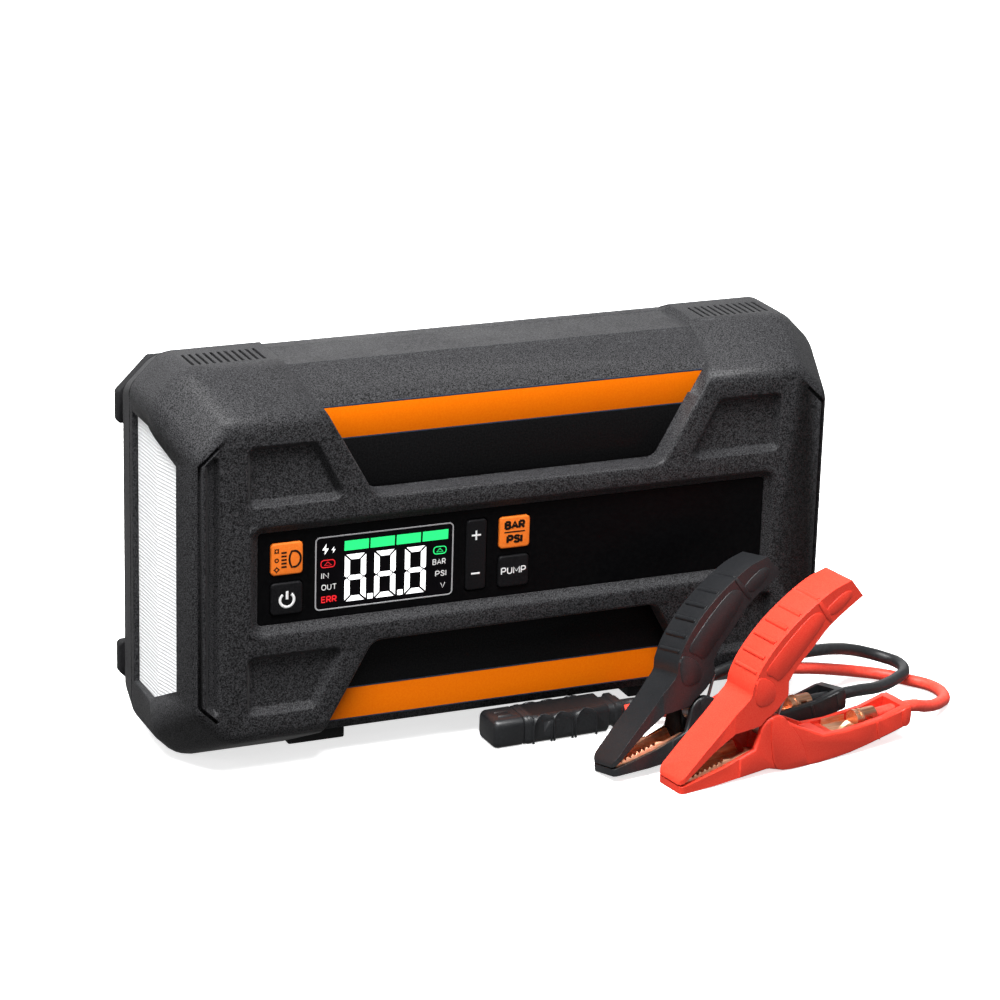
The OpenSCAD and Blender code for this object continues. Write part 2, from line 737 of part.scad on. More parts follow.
module usb_a_port() color(steel) at_case() difference() {
    block([bay_floor_x - 10, port_y - 3.2, usb_a_z - 7], [bay_floor_x + 1, port_y + 3.2, usb_a_z + 7]);
    block([bay_floor_x - 8, port_y - 2.6, usb_a_z - 6.4], [bay_floor_x + 3, port_y + 1, usb_a_z + 6.4]);
}

module usb_c_port() color(steel) at_case() difference() {
    block([bay_floor_x - 8, port_y - 1.8, usb_c_z - 4.6], [bay_floor_x + 1, port_y + 1.8, usb_c_z + 4.6]);
    block([bay_floor_x - 6, port_y - 1.3, usb_c_z - 4.1], [bay_floor_x + 3, port_y + 1.3, usb_c_z + 4.1]);
}

module hose_outlet() color("#c8a860") at_case() translate([bay_floor_x, port_y, outlet_z])
    rotate([0, 90, 0]) difference() {
        union() {
            translate([0, 0, -8]) cylinder(r = 3.95, h = 10);
            cylinder(r = 6, h = 1.6);
            translate([0, 0, 1.6]) cylinder(r = 3.6, h = 4.8);
            for (i = [0 : 3]) translate([0, 0, 2.4 + i * 1.1]) cylinder(r = 4, h = 0.55);
        }
        translate([0, 0, -9]) cylinder(r = 1.8, h = 18);
    }

// ---------------------------------------------------------------- inside

air_route = [
    [head_x + head_length / 2, rod_y + 2, drive_z - fin_radius - 2],
    [head_x + head_length / 2, rod_y + 2, 18], [84.6, 45.4, 4], [85.8, 44.4, -8],
    [89, 42, -18.6], [94.4, 38.8, -25], [100, port_y, outlet_z],
    [bay_floor_x - 8, port_y, outlet_z]
];

module air_line() color("#2a2a2a") at_case() cord(air_route, 2.6, 12, 3);

cell_length = 120;
cell_height = 36;
cell_thickness = 8.6;
cell_x = -66;
cell_z = -50;
tray_wall = 1.6;
tray_y = label_depth + wall;

module battery_tray() color("#3a3d42") at_case() difference() {
    block([cell_x - tray_wall, tray_y, cell_z - tray_wall],
        [cell_x + cell_length + tray_wall, tray_y + 2 * tray_wall + 4 * cell_thickness + 1.2,
            cell_z + cell_height - 8]);
    block([cell_x - gap / 2, tray_y + tray_wall, cell_z],
        [cell_x + cell_length + gap / 2, tray_y + tray_wall + 4 * cell_thickness + 1.2, half_z]);
}

module battery_cells() color("#9aa0a6") at_case() for (i = [0 : 3])
    translate([cell_x, tray_y + tray_wall + gap / 2 + i * (cell_thickness + 0.3), cell_z])
        cube([cell_length, cell_thickness, cell_height]);

main_board_y = label_depth + wall + 5;

module main_board() color(board_green) at_case() {
    block([-104, main_board_y, 20], [4, main_board_y + board_thickness, 52]);
    for (x = [-48, 0], z = [31, 48])
        translate([x, main_board_y, z]) rotate([90, 0, 0]) cylinder(r = 2.4, h = 5);
}

module power_relays() color("#30343a") at_case() for (x = [-84, -56])
    block([x, main_board_y + board_thickness, 26], [x + 22, main_board_y + board_thickness + 16, 44]);

frame_half = 12;
mount_radius = motor_radius - 0.5;

module compressor_frame() color("#8a8e94") at_case() difference() {
    union() {
        block([motor_x - 17, plate_y, drive_z - frame_half],
            [head_x + head_length, plate_back_y, drive_z + frame_half]);
        translate([gear_x, plate_y + 1, drive_z]) rotate([90, 0, 0])
            cylinder(r = axle_radius, h = plate_y + 1 - gear_y);
        block([motor_x - 17, motor_back_y, drive_z - 8], [motor_x - 13, plate_y + 1, drive_z + 8]);
        block([motor_x - 14, motor_back_y, drive_z - 8], [motor_x - 6, motor_back_y + 2, drive_z + 8]);
        translate([motor_x, motor_back_y + 2, drive_z]) rotate([90, 0, 0])
            cylinder(r = mount_radius, h = 2);
    }
    translate([motor_x, motor_back_y + 3, drive_z]) rotate([90, 0, 0]) cylinder(r = 2.6, h = 4);
}

module motor_can() color(steel) at_case() difference() {
    translate([motor_x, motor_back_y, drive_z]) rotate([90, 0, 0]) union() {
        cylinder(r = motor_radius, h = motor_back_y - motor_front_y);
        cylinder(r = 4, h = motor_back_y - motor_front_y + 2);
    }
    translate([motor_x, motor_back_y + 1, drive_z]) rotate([90, 0, 0])
        cylinder(r = 1.05, h = motor_back_y - motor_front_y);
}

// Toothed wheel outline with straight-sided teeth.
module wheel_outline(r, teeth, phase) {
    depth = 0.85 * 2 * r / teeth;
    polygon([for (i = [0 : teeth - 1], k = [0 : 3])
        let (a = (i + [-0.3, -0.13, 0.13, 0.3][k]) * 360 / teeth + phase,
             q = [r - depth, r + depth * 0.8, r + depth * 0.8, r - depth][k])
        [q * cos(a), q * sin(a)]
    ]);
}

module motor_pinion() color("#d8c27a") at_case() translate([motor_x, 0, drive_z]) difference() {
    union() {
        push_back(gear_y - 0.4, gear_y + gear_width + 0.4) wheel_outline(pinion_radius, pinion_teeth, 0);
        translate([0, gear_y + gear_width + 0.6, 0]) rotate([90, 0, 0])
            cylinder(r = 1, h = gear_y + gear_width + 0.6 - motor_front_y - 3);
    }
}

module crank_gear() color("#e0dccf") at_case() translate([gear_x, 0, drive_z]) difference() {
    union() {
        push_back(gear_y, gear_y + gear_width)
            wheel_outline(gear_radius, gear_teeth, 180 + 180 / gear_teeth);
        translate([crank_throw, gear_y + 1, 0]) rotate([90, 0, 0]) cylinder(r = 1.5, h = 2.6);
    }
    translate([0, gear_y + gear_width + 1, 0]) rotate([90, 0, 0])
        cylinder(r = axle_radius + fit, h = gear_width + 2);
}

module compressor_cylinder() color("#a8acb0") at_case() difference() {
    union() {
        translate([cylinder_x, rod_y + 2, drive_z]) rotate([0, 90, 0]) {
            cylinder(r = bore_radius + 2, h = cylinder_length);
            for (x = [3.4 : 3.8 : cylinder_length - 2])
                translate([0, 0, x]) cylinder(r = fin_radius, h = 1.4);
            translate([0, 0, cylinder_length]) cylinder(r = fin_radius, h = head_length);
        }
        translate([head_x + head_length / 2, rod_y + 2, drive_z - fin_radius - 2]) cylinder(r = 2.8, h = 4);
    }
    translate([cylinder_x - 1, rod_y + 2, drive_z]) rotate([0, 90, 0])
        cylinder(r = bore_radius, h = cylinder_length + 1);
    block([cylinder_x - 1, plate_y, drive_z - 15], [head_x + head_length + 1, plate_y + 20, drive_z + 15]);
}

module piston() color("#c4b48a") at_case() {
    translate([piston_x, rod_y + 2, drive_z]) rotate([0, 90, 0])
        cylinder(r = bore_radius - fit, h = piston_length);
    block([crank_x + 2.6, rod_y + 0.4, drive_z - 2], [piston_x + 1, rod_y + 3.6, drive_z + 2]);
    translate([crank_x, rod_y + 4, drive_z]) rotate([90, 0, 0]) difference() {
        cylinder(r = 3.4, h = 4);
        translate([0, 0, -1]) cylinder(r = 1.6, h = 6);
    }
}

// ---------------------------------------------------------------- clamp lead: plug

module at_plug() {
    translate(plug_place) rotate([0, 0, plug_heading]) children();
}

nose_length = 4.4;
nose_inset = 4.4;

// A rounded bar along the plug from s0 to s1.
module plug_bar(s0, s1, w, h, r) {
    translate([s0, 0, plug_height / 2]) rotate([90, 0, 90]) linear_extrude(s1 - s0)
        rounded_rect(w, h, r);
}

module plug_body() color(dark_colour) at_plug() difference() {
    union() {
        plug_bar(plug_seam, plug_end, plug_width, plug_height, 2.4);
        for (x = [19, 27, 35]) plug_bar(x, x + 2.2, plug_width + 1, plug_height, 2.6);
        plug_bar(plug_seam - nose_length, plug_seam + 1, plug_width - nose_inset,
            plug_height - nose_inset, 1);
    }
    for (s = [-1, 1]) translate([0, pin_spread * s, plug_height / 2]) rotate([0, 90, 0])
        cylinder(r = contact_radius, h = plug_seam + 14);
}

module plug_cap() color(dark_colour) at_plug() difference() {
    plug_bar(0, plug_seam, plug_width, plug_height, 2.4);
    plug_bar(1.6, plug_seam + 1, plug_width - 3.4, plug_height - 3.4, 1.4);
}

module plug_contacts() color(copper) at_plug() for (s = [-1, 1])
    translate([plug_seam - 2 * nose_length, pin_spread * s, plug_height / 2]) rotate([0, 90, 0])
        cylinder(r = contact_radius, h = 21);

module plug_collar() color("#202124") at_plug() {
    w = plug_width;
    h = plug_height;
    plug_bar(plug_end, plug_end + 3, w - 3, h - 2, 2);
    plug_bar(plug_end + 3, plug_end + 5.4, w - 1.6, h - 0.4, 3);
    plug_bar(plug_end + 5.4, plug_end + collar_length, w - 4, h - 2, 3);
}

// ---------------------------------------------------------------- clamp lead: clamps

module at_red() {
    translate(red_place) rotate([0, 0, red_heading]) children();
}

module at_black() {
    translate(black_place) rotate([0, 0, black_heading]) translate([0, handle_width / 2, 0])
        rotate([-black_lean, 0, 0]) translate([0, -handle_width / 2, 0]) children();
}

// Cheeks of the upper handle, held between the lower handle's side walls.
side_wall = 2.4;
cheek_outer = handle_width / 2 - side_wall - 0.3;
cheek_inner = cheek_outer - 1.4;

// A side outline of the clamp, from t0 to t1 across it.
module across(t0, t1) {
    translate([0, t1, 0]) rotate([90, 0, 0]) linear_extrude(t1 - t0) children();
}

module lower_outline() {
    union() {
        polygon([
            [0, 0], [14, 0.4], [37, 2.4], [42, 0.6], [47, 0], [58, 0], [70, 0.8], [84, 3.2], [98.5, 6.8],
            [98.5, 14], [95.4, 13.8], [86, 11.4], [70, 10], [60, 10.4], [48, 16.2], [44, 18.6],
            [33, 18.3], [30.4, 10.6], [17.9, 6.4], [0, 2.6]
        ]);
        translate(pivot) circle(hump_radius);
    }
}

module lower_handle() difference() {
    union() {
        intersection() {
            across(-handle_width / 2, handle_width / 2) lower_outline();
            block([24, -20, -1], [100, 20, 40]);
        }
        intersection() {
            across(-jaw_width / 2, jaw_width / 2) lower_outline();
            block([-1, -20, -1], [25, 20, 40]);
        }
    }
    across(-jaw_width / 2 + 1.4, jaw_width / 2 - 1.4) polygon([
        [1.6, 2], [36, 5.4], [36, 40], [1.6, 40]
    ]);
    across(-handle_width / 2 + side_wall, handle_width / 2 - side_wall) polygon([
        [28, 5], [37, 5], [43, 3], [58, 2.4], [70, 3], [84, 5], [95.4, 7.6], [95.4, 40], [28, 40]
    ]);
    across(-handle_width / 2 + 1.2, handle_width / 2 - 1.2)
        translate(pivot) circle(pin_radius);
    translate([90, 0, cord_exit[1]]) rotate([0, 90, 0]) cylinder(r = cord_radius + 0.15, h = 12);
}

// The handle's crossbar, low in the trough.
module crossbar() {
    across(-handle_width / 2 + 1.4, handle_width / 2 - 1.4)
        polygon([[58, 6.6], [63, 6.6], [63, 10], [58, 10.2]]);
}

module upper_outline() {
    polygon([
        [-0.2, 3], [0.4, 3.2], [13.4, 12.9], [22, 18], [27, 18.6], [32, 19], [39.4, 24.2],
        [43.4, 28.3], [43.2, 33.6], [47, 38.2], [52.4, 43.4], [58.5, 49.6], [64, 53.8], [73.8, 59.6],
        [68.4, 66.6], [61, 64.6], [54, 61], [45.2, 55.2], [38, 49], [31.8, 41.8], [28.4, 35.4],
        [27.6, 31], [18.2, 22], [8.2, 12.9], [0.2, 5.2]
    ]);
}

// Follows the outline 2 mm inside, open towards the lower handle.
module upper_hollow() {
    polygon([
        [1.6, 2], [2.6, 5.4], [8.2, 10.9], [18.2, 20], [27.4, 28.8], [29.8, 30.4], [30.4, 34.9],
        [33.5, 40.7], [39.4, 47.6], [46.4, 53.6], [55, 59.3], [61.8, 62.7], [66.8, 64], [78, 60],
        [64, 50], [46, 30], [40, 18], [20, 10]
    ]);
}

module upper_handle() difference() {
    union() {
        intersection() {
            across(-handle_width / 2, handle_width / 2) upper_outline();
            translate([21, -20, 17]) cube([70, 40, 60]);
        }
        intersection() {
            across(-jaw_width / 2, jaw_width / 2) upper_outline();
            translate([-5, -20, 0]) cube([27, 40, 60]);
        }
        for (s = [-1, 1]) mirror([0, s < 0 ? 1 : 0, 0]) across(cheek_inner, cheek_outer) union() {
            translate(pivot) circle(4.6);
            polygon([[34, 16], [43, 16], [43, 30], [30, 26]]);
        }
        for (i = [0 : 3]) let (p = [[33.5, 43.8], [37.8, 48.8], [42.4, 52.8], [47.8, 56.9]][i])
            translate([p[0], 0, p[1]]) rotate([90, 0, 0])
                cylinder(r = 0.7, h = handle_width - 4, center = true, $fn = 16);
    }
    across(-jaw_width / 2 + 1.4, jaw_width / 2 - 1.4) intersection() {
        upper_hollow();
        translate([-5, 0]) square([31, 50]);
    }
    across(-cheek_inner, cheek_inner) intersection() {
        upper_hollow();
        translate([25, 0]) square([60, 80]);
    }
    across(-handle_width / 2 + 2, handle_width / 2 - 2) intersection() {
        upper_hollow();
        translate([43.2, 27]) square([60, 60]);
    }
    for (s = [-1, 1]) mirror([0, s < 0 ? 1 : 0, 0])
        across(cheek_outer, handle_width / 2 + 1) translate(pivot) circle(hump_radius + 0.9);
    across(-12, 12) translate(pivot) circle(pin_radius + fit);
}

// A row of saw teeth along a line, as points.
function teeth(a, b, n, h) =
    let (d = (b - a) / n, u = unit([-(b - a)[1], (b - a)[0]]))
    [for (i = [0 : n - 1], k = [0, 1]) k == 0 ? a + d * i : a + d * (i + 0.5) + u * h];

module lower_jaw() difference() {
    across(-jaw_width / 2 + 1.6, jaw_width / 2 - 1.6) polygon(concat(
        teeth([2.2, 3.6], [20, 7.8], 9, 1.2), [[22, 8.4], [29.6, 10.2], [32, 5.2], [2.2, 2.2]]
    ));
    across(-jaw_width / 2 + 2.6, jaw_width / 2 - 2.6) polygon([[3.2, 3.2], [34, 6.2], [34, 20], [3.2, 20]]);
}

module upper_jaw() difference() {
    across(-jaw_width / 2 + 1.6, jaw_width / 2 - 1.6) polygon(concat(
        [[3.2, 5.9]], [for (p = teeth([3.4, 5.7], [15, 15], 7, -1)) p],
        [[20, 18.6], [24, 21], [24.6, 25.6]]
    ));
    across(-jaw_width / 2 + 2.6, jaw_width / 2 - 2.6) polygon([
        [4.4, 6.1], [24, 24.1], [28, 20], [20, 10], [0, 0]
    ]);
}

module pivot_pin() across(-handle_width / 2 + 1.3, handle_width / 2 - 1.3)
    translate(pivot) circle(pin_radius);

// Closely wound turns round the pin, with a leg for each handle.
module coil_spring() {
    wire = 0.6;
    turns = 5;
    pitch = 1.15;
    half = turns * pitch / 2;
    translate([pivot[0], half, pivot[1]]) rotate([90, 0, 0]) rotate_extrude() polygon(concat(
        [[2.4, 0]],
        [for (i = [0 : turns - 1], k = [0 : 3])
            [[3.3, 3.6, 3.6, 3.3][k], pitch * i + [0, 0.3, 0.85, 1.15][k]]],
        [[2.4, turns * pitch]]
    ));
    translate([pivot[0] + 3, wire - half, pivot[1]]) rotate([0, 22, 0]) cylinder(r = wire, h = 13);
    translate([pivot[0], half - wire, pivot[1] - 3]) rotate([0, 98, 0]) cylinder(r = wire, h = 14);
}

// Contact strip from the jaw to the crimped barrel on the cord.
module lug() difference() {
    union() {
        across(-3, 3) polygon([
            [33, 6.4], [44, 3.8], [58, 3.2], [70, 3.8], [80, 5.4], [80, 6.6], [70, 4.8], [58, 4.2],
            [44, 4.8], [33, 7.4]
        ]);
        translate([78, 0, cord_exit[1]]) rotate([0, 90, 0]) cylinder(r = 3.2, h = 9);
        across(-1.6, 1.6) polygon([[77, 5.2], [84, 6.6], [84, 8], [78, 8], [77, 6.4]]);
    }
    translate([81, 0, cord_exit[1]]) rotate([0, 90, 0]) cylinder(r = cord_radius + 0.1, h = 12);
}

module red_lower_handle() color(red) at_red() { lower_handle(); crossbar(); }

module red_upper_handle() color(red) at_red() upper_handle();

module red_lower_jaw() color(copper) at_red() lower_jaw();

module red_upper_jaw() color(copper) at_red() upper_jaw();

module red_pin() color(steel) at_red() pivot_pin();

module red_spring() color(steel) at_red() coil_spring();

module red_lug() color(copper) at_red() lug();

module black_lower_handle() color(dark_colour) at_black() { lower_handle(); crossbar(); }

module black_upper_handle() color(dark_colour) at_black() upper_handle();

module black_lower_jaw() color(copper) at_black() lower_jaw();

module black_upper_jaw() color(copper) at_black() upper_jaw();

module black_pin() color(steel) at_black() pivot_pin();

module black_spring() color(steel) at_black() coil_spring();

module black_lug() color(copper) at_black() lug();

// ---------------------------------------------------------------- clamp lead: cords

module red_cord() color(red) cord(red_route, cord_radius, 10, 2);

module black_cord() color(dark_colour) cord(black_route, cord_radius, 10, 2);

// ---------------------------------------------------------------- nodes

front_shell();
rear_shell();
rear_pads();
foot_pads();
case_screws();
label_plates();
label_stripes();
control_panel();
display_window();
display_module();
panel_board();
panel_screws();
key_switches();
light_button();
power_button();
unit_button();
pump_button();
adjust_rocker();
lamp_lens();
lamp_reflector();
lamp_board();
lamp_leds();
port_door();
jump_socket();
socket_contacts();
usb_a_port();
usb_c_port();
hose_outlet();
air_line();
battery_tray();
battery_cells();
main_board();
power_relays();
compressor_frame();
motor_can();
motor_pinion();
crank_gear();
compressor_cylinder();
piston();
plug_body();
plug_cap();
plug_contacts();
plug_collar();
red_cord();
black_cord();
red_lower_handle();
red_upper_handle();
red_lower_jaw();
red_upper_jaw();
red_pin();
red_spring();
red_lug();
black_lower_handle();
black_upper_handle();
black_lower_jaw();
black_upper_jaw();
black_pin();
black_spring();
black_lug();
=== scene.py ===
"""Jump starter pack with a tyre compressor and a clamp lead: finishes and detailed shapes.

Every length in this file is in millimetres unless its name says otherwise. Meshes are made in the
frame of what they belong to and placed in the row frame, in metres, as the last step.
"""

import logging
import math
from dataclasses import dataclass, field
from enum import Enum
from typing import Callable, Iterable, Optional, Sequence, Union

import bmesh
import bpy
from mathutils import Matrix, Vector


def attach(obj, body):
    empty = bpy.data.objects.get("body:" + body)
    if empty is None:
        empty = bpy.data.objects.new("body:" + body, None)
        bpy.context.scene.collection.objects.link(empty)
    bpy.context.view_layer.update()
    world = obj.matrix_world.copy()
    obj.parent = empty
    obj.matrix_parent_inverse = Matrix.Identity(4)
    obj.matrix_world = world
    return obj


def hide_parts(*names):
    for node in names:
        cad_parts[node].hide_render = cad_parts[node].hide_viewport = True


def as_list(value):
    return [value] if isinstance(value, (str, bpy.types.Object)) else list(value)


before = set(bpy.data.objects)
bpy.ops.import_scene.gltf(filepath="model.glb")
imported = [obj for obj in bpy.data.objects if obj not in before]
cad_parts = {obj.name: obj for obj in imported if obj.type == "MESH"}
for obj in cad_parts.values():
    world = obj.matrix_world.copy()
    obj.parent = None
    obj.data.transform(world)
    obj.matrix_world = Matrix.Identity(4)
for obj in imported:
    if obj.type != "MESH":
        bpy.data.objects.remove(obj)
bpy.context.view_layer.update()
LOG = logging.getLogger("jump_starter")

Point = tuple[float, float, float]
Flat = tuple[float, float]


class Plane(Enum):
    """The plane an outline is drawn in; a prism runs along the axis that is left."""

    XZ = "xz"
    YZ = "yz"
    XY = "xy"


class Boolean(Enum):
    """How one solid works on another."""

    CUT = "DIFFERENCE"
    KEEP = "INTERSECT"
    JOIN = "UNION"


class Grain(Enum):
    """How a surface was made, which sets its pattern."""

    SPARKED = "spark eroded mould texture"
    MOULDED = "fine satin moulding"
    BRUSHED = "brushed or drawn metal"
    SMOOTH = "polished or printed film"


METRE = Matrix.Scale(0.001, 4)
CASE_PLACE = METRE @ Matrix.Translation((0.0, -33.0, 70.5))


def to_linear(code: str) -> tuple[float, float, float, float]:
    """Turn an sRGB hex colour to linear.

    Args:
        code: The colour, such as "#2a2b2d".

    Returns:
        Linear red, green, blue and an alpha of 1.
    """
    parts = [int(code[i : i + 2], 16) / 255 for i in (1, 3, 5)]
    linear = [p / 12.92 if p <= 0.04045 else ((p + 0.055) / 1.055) ** 2.4 for p in parts]
    return (linear[0], linear[1], linear[2], 1.0)


def add_node(
    tree: bpy.types.NodeTree,
    kind: str,
    settings: Optional[dict] = None,
    inputs: Optional[dict] = None,
) -> bpy.types.Node:
    """Add a node with its settings and links.

    Args:
        tree: The node tree it goes in.
        kind: The node's type, without "ShaderNode".
        settings: Property values by name.
        inputs: Values or output sockets by input name or number.

    Returns:
        The new node.
    """
    node = tree.nodes.new("ShaderNode" + kind)
    for name, value in (settings or {}).items():
        setattr(node, name, value)
    for name, value in (inputs or {}).items():
        if isinstance(value, bpy.types.NodeSocket):
            tree.links.new(value, node.inputs[name])
        else:
            node.inputs[name].default_value = value
    return node


def empty_material(name: str) -> bpy.types.Material:
    """Start a node material with nothing in its tree.

    Args:
        name: The material's name.

    Returns:
        The new material.
    """
    material = bpy.data.materials.new(name)
    material.use_nodes = True
    material.node_tree.nodes.clear()
    return material


# ------------------------------------------------------------------ finishes

# Where the grain's two colours begin and end, from 0 to 1 of the noise.
GRAIN_FROM, GRAIN_TO = 0.36, 0.68
# Soft smudges about 26 mm across, and how much rougher or smoother they make a surface.
SMUDGE_SCALE = 38.0
SMUDGE_ROUGHNESS = 0.06
SHEEN_ROUGHNESS = 0.3
# How far a brushed surface's grain is drawn out along X.
BRUSH_STRETCH = 0.04


@dataclass(frozen=True)
class Finish:
    """A surface: what it is made of, how it was made and what that gives the eye."""

    name: str
    slot: str
    colour: str
    roughness: float
    fleck: str = ""
    metallic: float = 0.0
    specular: float = 0.5
    grain: Grain = Grain.MOULDED
    grain_mm: float = 0.5
    grain_depth: float = 0.02
    edge_mm: float = 0.25
    sheen: float = 0.0
    glow: float = 0.0
    glow_colour: str = "#ffffff"

    def material(self) -> bpy.types.Material:
        """Return this finish's material, made the first time it is asked for."""
        found = bpy.data.materials.get(self.name)
        return found if found else self._made()

    def _made(self) -> bpy.types.Material:
        """Build the node tree: grain for colour and bump, soft smudges for roughness.

        Returns:
            The new material.
        """
        material = empty_material(self.name)
        tree = material.node_tree
        place = add_node(tree, "TexCoord").outputs["Object"]
        stretch = (1.0, 1.0, 1.0)
        if self.grain is Grain.BRUSHED:
            stretch = (BRUSH_STRETCH, 1.0, 1.0)
        laid = add_node(tree, "Mapping", None, {"Vector": place, "Scale": stretch}).outputs[0]
        per_metre = 1000 / self.grain_mm
        grain = add_node(
            tree, "TexNoise", None,
            {"Vector": laid, "Scale": per_metre, "Detail": 2.0, "Roughness": 0.55},
        ).outputs["Fac"]
        smudge = add_node(
            tree, "TexNoise", None, {"Vector": place, "Scale": SMUDGE_SCALE, "Detail": 3.0}
        ).outputs["Fac"]
        colour = add_node(tree, "ValToRGB", None, {"Fac": grain})
        ramp = colour.color_ramp
        ramp.elements[0].position, ramp.elements[1].position = GRAIN_FROM, GRAIN_TO
        ramp.elements[0].color = to_linear(self.colour)
        ramp.elements[1].color = to_linear(self.fleck or self.colour)
        rough = add_node(
            tree, "MapRange", None,
            {"Value": smudge, "From Min": 0.3, "From Max": 0.7,
             "To Min": max(self.roughness - SMUDGE_ROUGHNESS, 0.02),
             "To Max": min(self.roughness + SMUDGE_ROUGHNESS, 1.0)},
        ).outputs[0]
        rounded = add_node(
            tree, "Bevel", {"samples": 4}, {"Radius": self.edge_mm / 1000}
        ).outputs[0]
        bump = add_node(
            tree, "Bump", None,
            {"Height": grain, "Distance": self.grain_depth / 1000, "Strength": 1.0,
             "Normal": rounded},
        ).outputs[0]
        shader = add_node(
            tree, "BsdfPrincipled", None,
            {"Base Color": colour.outputs[0], "Roughness": rough, "Metallic": self.metallic,
             "Specular IOR Level": self.specular, "Normal": bump, "Sheen Weight": self.sheen,
             "Sheen Roughness": SHEEN_ROUGHNESS, "Emission Color": to_linear(self.glow_colour),
             "Emission Strength": self.glow},
        )
        add_node(tree, "OutputMaterial", None, {"Surface": shader.outputs[0]})
        return material


# Spark-eroded ABS: matt charcoal with a fine raised grain; the pale flecks on its raised tops are
# painted highlights.
CASE_ABS = Finish("abs_case_sparked", "shell", "#020203", 0.5, "#434345", specular=0.15,
                  grain=Grain.SPARKED, grain_mm=0.42, grain_depth=0.07, edge_mm=0.5, sheen=0.03)
# Moulded rubber feet and pads: softer, darker and duller than the case.
PAD_RUBBER = Finish("rubber_pads", "pads", "#121214", 0.75, "#1d1d1f", specular=0.3,
                    grain_mm=0.8, grain_depth=0.05)
# Zinc-plated steel, rolled or drawn: bright grey with fine lines along the sheet.
ZINC = Finish("zinc_plated_steel", "steel", "#b4b8bd", 0.3, "#c9ccd0", metallic=1.0,
              grain=Grain.BRUSHED, grain_mm=0.25, grain_depth=0.004, edge_mm=0.12)
# Printed polycarbonate label film, black field.
LABEL_BLACK = Finish("film_label_black", "label_black", "#070708", 0.45, "#161617",
                     specular=0.08, grain_mm=0.55, grain_depth=0.05, edge_mm=0.15)
# The same film, printed orange: an even matt colour.
LABEL_ORANGE = Finish("film_label_orange", "label_orange", "#ee7000", 0.5, "#f27804",
                      specular=0.08, grain_mm=0.7, grain_depth=0.01, edge_mm=0.15)
# Printed polycarbonate panel film: near black and smooth, with little glare.
PANEL_FILM = Finish("film_panel_gloss", "panel", "#060607", 0.35, "#0a0a0b", specular=0.04,
                    grain=Grain.SMOOTH, grain_mm=1.2, grain_depth=0.004, edge_mm=0.2)
# Tinted acrylic over the display: dark, smooth and glossy.
DISPLAY_GLASS = Finish("acrylic_display_dark", "display", "#070608", 0.12, "#0b090c",
                       specular=0.06, grain=Grain.SMOOTH, grain_mm=3.0, grain_depth=0.001,
                       edge_mm=0.2)
# Green solder mask, curtain coated: a thin glossy skin with slight orange peel.
SOLDER_MASK = Finish("board_solder_mask", "board", "#14543a", 0.35, "#1a6a46", grain_mm=0.9,
                     grain_depth=0.03, edge_mm=0.1)
# Glass-filled nylon, moulded: satin black.
SWITCH_BLACK = Finish("nylon_black_parts", "switch", "#17181a", 0.5, "#222326", grain_mm=0.5)
# Moulded silicone, orange: soft edges and a dull bloom.
KEY_ORANGE = Finish("silicone_key_orange", "key_orange", "#ee7420", 0.5, "#f2802c",
                    specular=0.25, grain_mm=0.5, grain_depth=0.02, edge_mm=0.5)
# Moulded silicone, black: soft edges and a dull bloom.
KEY_BLACK = Finish("silicone_key_black", "key_black", "#0a0a0c", 0.5, "#151517",
                   specular=0.14, grain_mm=0.5, grain_depth=0.03, edge_mm=0.6)
# Vacuum-metallised plastic: a pale mirror that spreads the lamp's light.
SILVERED = Finish("reflector_silvered", "reflector", "#e9ecee", 0.18, "#f4f6f7", metallic=0.6,
                  grain_mm=1.5, grain_depth=0.01)
# Cast phosphor over each light-emitting diode: yellow, glowing faintly.
PHOSPHOR = Finish("led_phosphor", "led", "#f3d95a", 0.4, "#f8e68a", grain_mm=0.3, glow=0.6,
                  glow_colour="#fff3c8")
# Moulded rubber: dark, matt and a little grainy.
DOOR_RUBBER = Finish("rubber_door", "door", "#161719", 0.66, "#242527", specular=0.3,
                     grain_mm=0.6, grain_depth=0.08, edge_mm=0.5)
# Moulded blue nylon: satin, with crisp edges.
SOCKET_NYLON = Finish("nylon_socket_blue", "socket_blue", "#1c3f8c", 0.4, "#22489b",
                      grain_mm=0.6)
# Copper-plated pressed steel: warm and bright, with fine drawing lines.
COPPER = Finish("copper_plated_steel", "copper", "#f0a67c", 0.38, "#ffcbaa", metallic=1.0,
                grain=Grain.BRUSHED, grain_mm=0.5, grain_depth=0.02, edge_mm=0.15)
# Turned brass: yellow, with fine tool lines.
BRASS = Finish("brass_turned", "brass", "#c9a552", 0.3, "#dcbd70", metallic=1.0,
               grain=Grain.BRUSHED, grain_mm=0.4, grain_depth=0.006, edge_mm=0.12)
# Extruded rubber: matt black.
HOSE_RUBBER = Finish("rubber_air_line", "hose", "#1d1d1f", 0.6, "#29292b", grain_mm=0.5)
# Moulded grey ABS: satin, with a light grain.
TRAY_ABS = Finish("abs_battery_tray", "tray", "#33373c", 0.55, "#40454a", grain_mm=0.6,
                  grain_depth=0.05)
# Embossed aluminium pouch foil: dull silver with shallow creases.
CELL_FOIL = Finish("foil_pouch_cells", "cells", "#a4aab0", 0.32, "#c2c7cb", metallic=0.9,
                   grain_mm=2.4, grain_depth=0.08)
# Die-cast aluminium: grey, with a slightly pitted skin.
CASTING = Finish("aluminium_die_cast", "casting", "#8f949a", 0.42, "#a9aeb3", metallic=0.95,
                 grain_mm=0.7, grain_depth=0.05)
# Natural nylon, moulded: cream and slightly waxy.
NYLON = Finish("nylon_natural_gear", "nylon", "#ddd7c6", 0.45, "#e8e3d4", grain_mm=0.8)
